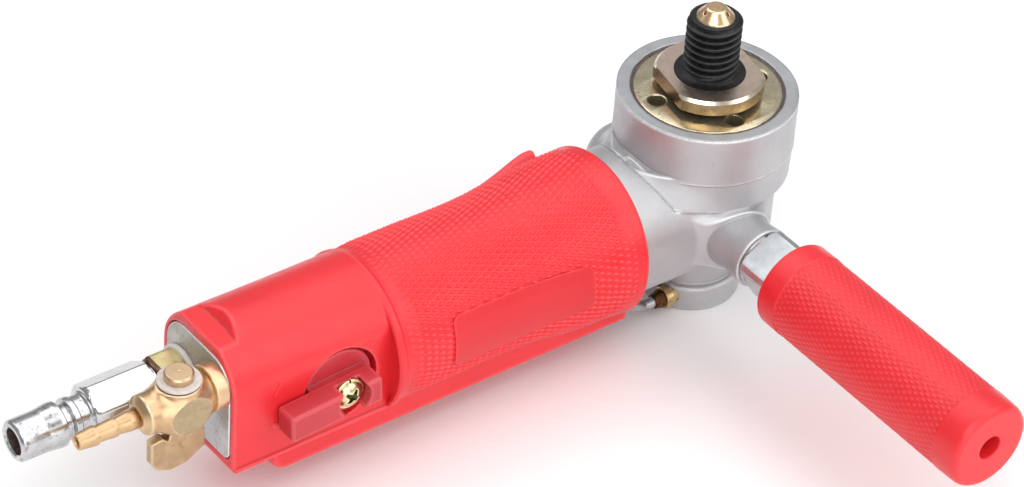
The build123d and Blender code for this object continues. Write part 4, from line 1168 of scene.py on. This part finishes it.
# ------------------------------------------------------------------ air inlet: washer, adapter, plug
PC = (PLUG_Y, PLUG_Z)
V, F = lathe(rounded([(-173.9, 6.55, 0.15), (-173.9, 8.3, 0.45), (-172.5, 8.3, 0.3), (-172.5, 6.55, 0.1)], 4, True), "x", PC, 72, loop=True)
Mesh().add(V, F).build("inlet_seal_washer", [WHITE], "housing", "white_plastic", ["inlet_washer"])
ad = Mesh()
V, F, flat = polar(ngon_shape(6, 13.4, 0.0, 0.12), [(-182.4, 6.6), (-182.1, 7.1), (-181.6, 7.75), (-180.9, 9.0), (-175.2, 9.0), (-174.5, 7.75), (-174.1, 7.2), (-173.9, 6.8)], "x", PC, ngon_thetas(6))
ad.add(V, F, 0, flat)
ad.m = [1 if V[f, 0].mean() < -180.85 else 0 for f in F]
V, F = lathe([(-174.0, 6.4), (-161.0, 6.4), (-161.0, 4.6), (-173.0, 4.6)], "x", PC, 48)
ad.add(V, F, 0)
ad.build("inlet_hex_adapter", [BRASS_HEX, BRASS_DARK], "housing", "brass", ["inlet_adapter"], 28)
pl = Mesh()
nose = rounded([(-224.6, 3.79), (-225.0, 3.85, 0.1), (-225.4, 4.3, 0.25), (-225.4, 5.3, 0.25), (-224.7, 5.95, 0.5), (-217.0, 5.95, 3.0), (-212.9, 6.45, 0.6), (-211.6, 6.35, 0.35), (-210.9, 4.6, 0.4),
                (-209.4, 4.6, 0.35), (-208.9, 6.05, 0.3), (-207.3, 6.05, 0.3), (-206.9, 5.6, 0.2), (-204.4, 5.6, 0.5), (-203.5, 6.7, 0.3), (-203.3, 5.0)], 5)
V, F = lathe(nose, "x", PC, 96)
pl.add(V, F, 0)
V, F, flat = polar(ngon_shape(6, 14.2, PI / 6, 0.1), [(-203.5, 6.7), (-203.35, 7.05), (-203.0, 7.5), (-202.5, 8.0), (-201.8, 8.6), (-184.8, 8.6), (-184.2, 8.0), (-183.7, 7.5), (-183.35, 7.1), (-183.2, 6.8)], "x", PC, ngon_thetas(6, PI / 6))
pl.add(V, F, 2, flat)
V, F = lathe(rounded([(-183.3, 6.2), (-182.5, 6.2, 0.15), (-182.4, 5.2)], 3), "x", PC, 72)
pl.add(V, F, 0)
# inside of the bore in the dark bore material: painted shade
V, F = lathe([(-224.6, 3.79), (-205.0, 3.76), (-205.0, 0.0)], "x", PC, 48)
pl.add(*compact(V, F), 1)
pl.build("air_plug_nipple", [CHROME_NOSE, BORE_SHADE, CHROME], "housing", "chrome", ["air_plug"], 28)

# ------------------------------------------------------------------ water cock
CC = (COCK_Y, COCK_Z)
V, F = lathe(rounded([(-172.5, 4.95), (-172.5, 6.8, 0.2), (-176.3, 6.8, 0.35), (-176.3, 4.95)], 4, True), "x", CC, 72, loop=True)
Mesh().add(V, F).build("cock_fixing_collar", [COLLAR], "housing", "brass", ["cock_collar"])


def cock_field(x, y, z):
    rv = np.hypot(x - STEM_X, y - COCK_Y)
    ball = np.sqrt(rv * rv + (z + 31.8) ** 2) - 8.8
    ball = smax(ball, -37.0 - z, 0.5)
    seat = np.maximum(rv - 6.3, np.maximum(-33.0 - z, z + 24.0))
    d = smin(ball, seat, 0.8)
    rh = np.hypot(y - COCK_Y, z - COCK_Z)
    arm = smax(smax(rh - 5.8, -197.6 - x, 0.3), x + 176.4, 0.3)
    arm = smax(arm, (rh - 5.8) * 0.59 + (-196.0 - x) * 0.81, 0.35)
    d = smin(d, arm, 2.6)
    d = smax(d, z + 24.0, 0.4)
    d = smax(d, -15.9 - y, 0.3)
    return d


ck = Mesh()
V, F, W = field_mesh(cock_field, (-198.6, -17.0, -38.0), (-175.2, 0.6, -23.0), 0.24, 4, 0.6)
mid = V[np.array(F)].mean(1)
ck.add(V, F, 0, None, W)
ck.m = [1 if q[1] < -15.83 else 0 for q in mid]
barb = rounded([(-197.2, 2.2), (-197.2, 2.85), (-200.4, 2.85, 0.6), (-204.3, 2.32, 0.15), (-204.35, 2.72, 0.15), (-205.4, 2.72, 0.4), (-210.2, 2.28, 0.15), (-210.25, 2.78, 0.15), (-211.2, 2.78, 0.4),
                (-215.9, 2.25, 0.2), (-216.0, 1.6, 0.1), (-215.2, 1.4, 0.2), (-203.0, 1.4), (-203.0, 0.0)], 4)
V, F = lathe(barb, "x", CC, 64)
ck.add(*compact(V, F), 2)
BRASS_FACET = metal("brass_facet", (0.44, 0.35, 0.21), (0.52, 0.42, 0.26), (0.44, 0.56), 420, 1.0, ((0.28, 0.21, 0.12), 760, 0.63, 0.45), 0.2)
ck.build("water_cock_body", [BRASS, BRASS_FACET, BRASS_TURN_X], "housing", "brass", ["cock_body"], 0, fix=False)

WING = [(-193.7, -41.2), (-193.7, -48.3), (-192.2, -50.8), (-188.0, -52.4), (-183.0, -51.6), (-177.3, -48.2), (-177.3, -42.4), (-179.5, -38.9), (-181.0, -37.3), (-187.4, -37.3), (-188.6, -41.8), (-190.2, -40.4)]


def wing_field(x, y, z):
    p = poly2d(x, z, WING)
    d = smax(p, np.abs(y - COCK_Y) - 2.1 + 0.07 * np.maximum(-184.0 - x, 0.0), 0.5)
    rv = np.hypot(x - STEM_X, y - COCK_Y)
    neck = smax(smax(rv - 5.0, z + 37.0, 0.3), -39.2 - z, 0.8)
    return smin(d, neck, 0.8)


V, F, W = field_mesh(wing_field, (-195.2, -15.2, -53.2), (-176.4, -3.2, -36.4), 0.26, 4, 0.5)
wg = Mesh().add(V, F, 0, None, W)
V, F = lathe([(-37.5, 0.0), (-37.5, 3.55), (-22.9, 3.55), (-22.9, 2.4), (-21.2, 2.4), (-21.2, 0.0)], "z", (STEM_X, COCK_Y), 40)
wg.add(*compact(V, F), 0)
wg.build("cock_wing_lever", [BRASS_WING], "cock_set", "brass", ["cock_plug"], 0, fix=False)
V, F = lathe(rounded([(-23.8, 3.65), (-23.8, 6.1, 0.3), (-22.9, 6.1, 0.4), (-22.9, 3.65)], 4, True), "z", (STEM_X, COCK_Y), 72, loop=True)
Mesh().add(V, F).build("cock_seal_washer", [WASHER], "cock_set", "white_plastic", ["cock_washer"])
V, F = lathe(rounded([(-22.9, 4.1), (-21.1, 4.1, 0.1), (-20.65, 3.6, 0.3), (-20.6, 0.5, 0.2), (-20.75, 0.0)], 4), "z", (STEM_X, COCK_Y), 72)
Mesh().add(*compact(V, F)).build("cock_rivet_cap", [BRASS_CAP], "cock_set", "brass", ["cock_cap"], 25)

# ------------------------------------------------------------------ water tube and its nut
TUBE_PATH = [(-152.8, -10.4, -46.0), (-152.8, -10.4, -62.2), (-147.6, -12.0, -62.2), (-34.5, -12.0, -62.2), (-23.5, -7.5, -71.3), (-11.6, -7.5, -71.3)]


def bend_path(pts, r, seg=8):
    out = [np.array(pts[0], float)]
    for i in range(1, len(pts) - 1):
        P, A, B = (np.array(pts[k], float) for k in (i, i - 1, i + 1))
        u, v = (A - P) / np.linalg.norm(A - P), (B - P) / np.linalg.norm(B - P)
        ph = math.acos(float(np.clip(u @ v, -1, 1)))
        t = min(r / math.tan(ph / 2), 0.45 * np.linalg.norm(A - P), 0.45 * np.linalg.norm(B - P))
        rr = t * math.tan(ph / 2)
        C = P + (u + v) / np.linalg.norm(u + v) * rr / math.sin(ph / 2)
        s, e, an = P + u * t - C, P + v * t - C, PI - ph
        for k in range(seg + 1):
            q = k / seg
            out.append(C + s * math.sin((1 - q) * an) / math.sin(an) + e * math.sin(q * an) / math.sin(an))
    out.append(np.array(pts[-1], float))
    return np.array(out)


def sweep(path, r, n=24):
    tan = np.gradient(path, axis=0)
    tan /= np.linalg.norm(tan, axis=1)[:, None]
    up = np.array([0.0, 1.0, 0.0])
    V = []
    prev = None
    for p, t in zip(path, tan):
        a = up - t * (up @ t) if prev is None else prev - t * (prev @ t)
        a /= np.linalg.norm(a)
        b = np.cross(t, a)
        prev = a
        for k in range(n):
            w = 2 * PI * k / n
            V.append(p + r * (a * math.cos(w) + b * math.sin(w)))
    return np.array(V), grid_faces(len(path), n, True)


tb = Mesh()
path = bend_path(TUBE_PATH, 2.6)
V, F = sweep(path, 1.7, 28)
tb.add(V, F, 0)
tb.build("water_feed_tube", [TUBE], "housing", "zinc_steel", ["water_tube"], 40)
nu = Mesh()
V, F = lathe(rounded([(-19.2, 1.78), (-19.5, 1.95, 0.1), (-19.3, 2.2, 0.2), (-17.0, 2.75, 0.4), (-16.3, 2.85, 0.2), (-16.1, 2.7)], 4), "x", (NUT_Y, NUT_Z), 48)
nu.add(V, F, 0)
V, F = lathe(rounded([(-16.1, 2.6), (-16.2, 3.1, 0.1), (-15.95, 3.35, 0.2), (-13.6, 3.35, 0.2), (-13.35, 2.9), (-11.5, 2.6)], 4), "x", (NUT_Y, NUT_Z), 48)
nu.add(V, F, 1)
nu.build("tube_compression_nut", [NUT, NUT_RING], "housing", "brass", ["tube_nut"], 30)

# ------------------------------------------------------------------ side handle
HC = (XH, ZA)
V, F = lathe([(HUB_IN, 5.2), (HUB_IN, 8.3), (HUB_IN + 0.2, 8.6), (BOSS_END - 0.2, 8.6), (BOSS_END, 8.3), (BOSS_END, 5.2)], "y", HC, 90, math.radians(4), math.radians(356), True)
Mesh().add(V, F).build("handle_split_washer", [STEEL], "housing", "steel", ["handle_lock_washer"], 30)
st = Mesh()
TURN = math.radians(-28.7)
sq = ngon_shape(4, 16.0, TURN, 0.0)
hub_t = [k * PI / 60 for k in range(120)]
for k in range(4):
    for e in (-1, 1):
        q = TURN + k * PI / 2 + e * math.acos(8.0 / 10.4)
        hub_t += [(q - 0.004) % (2 * PI), q % (2 * PI), (q + 0.004) % (2 * PI)]
V, F, flat = polar(lambda t: np.minimum(sq(t), 10.4), [(HUB_IN, 9.2), (HUB_IN - 0.15, 9.6), (HUB_IN - 0.5, 10.1), (HUB_IN - 0.9, 10.5), (HUB_OUT + 0.8, 10.5), (HUB_OUT + 0.3, 10.1), (HUB_OUT, 9.6)], "y", HC,
                   sorted(set(round(q, 6) for q in hub_t)))
st.add(V, F, 0, flat)
V, F = lathe([(-23.0, 0.0), (-23.0, 4.9), (HUB_IN - 0.5, 4.9)], "y", HC, 32)
st.add(*compact(V, F), 0)
V, F = lathe([(HUB_OUT + 0.5, 5.0), (-116.0, 5.0), (-116.0, 0.0)], "y", HC, 32)
st.add(*compact(V, F), 0)
st.build("handle_stud_hub", [ZINC], "housing", "zinc_steel", ["handle_stud"], 24)

hg = Mesh()
hr = curve([(50.0, 13.2), (126.0, 13.2)])


def h_mask(a, t):
    return np.ones(np.shape(a))


V, F, W = knurl("y", HC, lambda a: np.full(np.shape(a), 13.3), 55.0, 127.0, 48, 3.2, 0.30, -1.0, h_mask, 0.05, 0.40, None, 0.0, 0.22)
keep = [f for f in F if 57.9 < -V[f, 1].mean() < 124.6]
ids = np.unique(np.concatenate([np.array(f) for f in keep]))
hg.add(*compact(V, keep), 0, None, W[ids])
V, F = lathe(rounded([(HUB_OUT, 5.1), (HUB_OUT, 12.0, 0.5), (-50.3, 13.3, 0.8), (-57.2, 13.4, 0.4), (-57.6, 13.05, 0.15), (-58.0, 12.75, 0.1), (-60.0, 12.7)], 5), "y", HC, 128)
hg.add(V, F, 1)
V, F = lathe(rounded([(-121.5, 12.6), (-123.8, 12.9, 0.1), (-124.1, 13.4, 0.25), (-129.0, 13.3, 2.0), (-133.0, 13.05, 2.3), (-133.0, 3.85, 0.25), (-132.7, 3.6, 0.2), (-125.2, 3.6, 0.6), (-125.0, 0.0)], 6), "y", HC, 128)
hg.add(*compact(V, F), 1)
# mould seam: two thin crossing beads make a chain of loops along the sleeve; their crests are tinted paler as a painted
# highlight
seam = math.radians(-25.1)
for sgn in (1.0, -1.0):
    aa = np.arange(58.4, 123.9, 0.16)
    off = sgn * 0.62 * np.sin(2 * PI * (aa - 58.4) / 6.4)
    slope = sgn * 0.62 * (2 * PI / 6.4) * np.cos(2 * PI * (aa - 58.4) / 6.4)
    nrm = np.hypot(1.0, slope)
    V = []
    for dv, hv in ((-0.30, -0.42), (-0.26, -0.10), (-0.12, 0.06), (0.0, 0.10), (0.12, 0.06), (0.26, -0.10), (0.30, -0.42)):
        ax, tv = aa - dv * slope / nrm, off + dv / nrm
        V.append(axis_map("y", -ax, np.full(len(aa), 13.22 + hv), seam + tv / 13.22, HC))
    V = np.stack(V, 1).reshape(-1, 3)
    F = grid_faces(len(aa), 7, False)
    F.append(list(range(7)))
    F.append(list(range((len(aa) - 1) * 7, len(aa) * 7)))
    for k in range(len(aa) - 1):
        F.append([k * 7, (k + 1) * 7, (k + 1) * 7 + 6, k * 7 + 6])
    hg.add(V, F, 0, None, np.tile([0.0, 0.3, 0.5, 0.6, 0.5, 0.3, 0.0], len(aa)))
hg.build("handle_grip_sleeve", [RED_RIB, RED], "housing", "red_grip", ["handle_grip"], 34)

# ------------------------------------------------------------------ materials of the carried-over inner pieces
SLOT_MAT = {"red_grip": RED, "red_knob": RED_KNOB, "silver_cast": SILVER, "block_alu": PLATE, "zinc_yellow": GOLD, "flange_zinc": FLANGE, "black_steel": BLACK, "brass": BRASS,
            "chrome": CHROME, "zinc_steel": ZINC, "white_plastic": WHITE, "steel": STEEL, "seal_rubber": RUBBER, "felt": FELT, "vane_laminate": LAMINATE}
SOFT = {"spindle_seal": RUBBER, "water_seal": RUBBER, "neck_oring": RUBBER, "throttle_orings": RUBBER, "motor_gasket": RUBBER, "silencer_pad": FELT, "vanes": LAMINATE, "tube_ferrule": BRASS,
        "inlet_screen": BRASS, "motor_cylinder": PLATE, "front_end_plate": PLATE, "rear_end_plate": PLATE, "throttle_spool": BRASS}
for name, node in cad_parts.items():
    ob = bpy.data.objects.get(node) if isinstance(node, str) else node
    mat = SOFT.get(name, STEEL)
    if not ob.material_slots:
        ob.data.materials.append(mat)
    else:
        for s in ob.material_slots:
            s.material = mat

# ------------------------------------------------------------------ floor, light, camera
def floor_mat():
    m = Nodes("pale_floor").set(Metallic=0.0, IOR=1.4)
    m.color(m.ramp(m.noise(3, 3), [(0.3, (0.88, 0.88, 0.885)), (0.7, (0.90, 0.90, 0.90))]))
    m.rough(m.span(m.noise(12, 3), 0.3, 0.7, 0.75, 0.9))
    m.bump([(m.noise(900, 2), 0.02, 0.0002)])
    return m.mat


me = bpy.data.meshes.new("floor")
g = 3.0
me.from_pydata([(-g, -g, -0.0762), (g, -g, -0.0762), (g, g, -0.0762), (-g, g, -0.0762)], [], [(0, 1, 2, 3)])
me.materials.append(floor_mat())
fl_ob = bpy.data.objects.new("floor", me)
bpy.context.scene.collection.objects.link(fl_ob)

scene = bpy.context.scene
world = bpy.data.worlds.new("studio")
scene.world = world
world.use_nodes = True
wt = world.node_tree
wt.nodes.clear()
wo = wt.nodes.new("ShaderNodeOutputWorld")
wb = wt.nodes.new("ShaderNodeBackground")
tc = wt.nodes.new("ShaderNodeTexCoord")
sx = wt.nodes.new("ShaderNodeSeparateXYZ")
rp = wt.nodes.new("ShaderNodeValToRGB")
el = rp.color_ramp.elements
el[0].position, el[0].color = 0.0, (0.42, 0.42, 0.43, 1)
el[1].position, el[1].color = 1.0, (0.66, 0.66, 0.66, 1)
e = el.new(0.25)
e.color = (0.56, 0.56, 0.57, 1)
wt.links.new(tc.outputs["Generated"], sx.inputs[0])
wt.links.new(sx.outputs["Z"], rp.inputs[0])
wt.links.new(rp.outputs[0], wb.inputs[0])
wt.links.new(wb.outputs[0], wo.inputs[0])
wb.inputs[1].default_value = 0.68


def area(name, loc, aim, size, power, color=(1, 1, 1), sy=None):
    li = bpy.data.lights.new(name, "AREA")
    li.energy = power
    li.color = color
    li.size = size
    if sy:
        li.shape = "RECTANGLE"
        li.size_y = sy
    ob = bpy.data.objects.new(name, li)
    ob.location = loc
    d = Vector(aim) - Vector(loc)
    ob.rotation_euler = d.to_track_quat("-Z", "Y").to_euler()
    scene.collection.objects.link(ob)
    return ob


mid = (-0.08, -0.03, -0.03)
area("key", (-0.75, -0.55, 1.05), mid, 0.9, 7.0)
area("top", (0.46, -0.38, 1.08), mid, 1.1, 5.5)
area("over", (0.25, 0.50, 1.20), mid, 1.0, 4.0)
area("fill", (0.55, -1.05, 0.55), mid, 0.8, 3.4)
area("front", (-0.35, -1.25, 0.35), mid, 0.9, 5.3)
area("back", (-0.36, 0.72, 0.95), mid, 0.8, 2.5)

cam = bpy.data.cameras.new("camera")
cam.sensor_fit = "HORIZONTAL"
cam.sensor_width = 36.0
cam.lens = 3931.9 / 1024 * 36.0
cam.clip_start, cam.clip_end = 0.05, 20.0
co = bpy.data.objects.new("camera", cam)
co.matrix_world = Matrix(((0.800923, 0.334760, -0.496446, -0.614886), (-0.595975, 0.525674, -0.607026, -0.669197), (0.057761, 0.782050, 0.620533, 0.650086), (0, 0, 0, 1)))
scene.collection.objects.link(co)
scene.camera = co
scene.view_settings.view_transform = "Standard"
scene.view_settings.look = "None"
scene.view_settings.exposure = 0.0
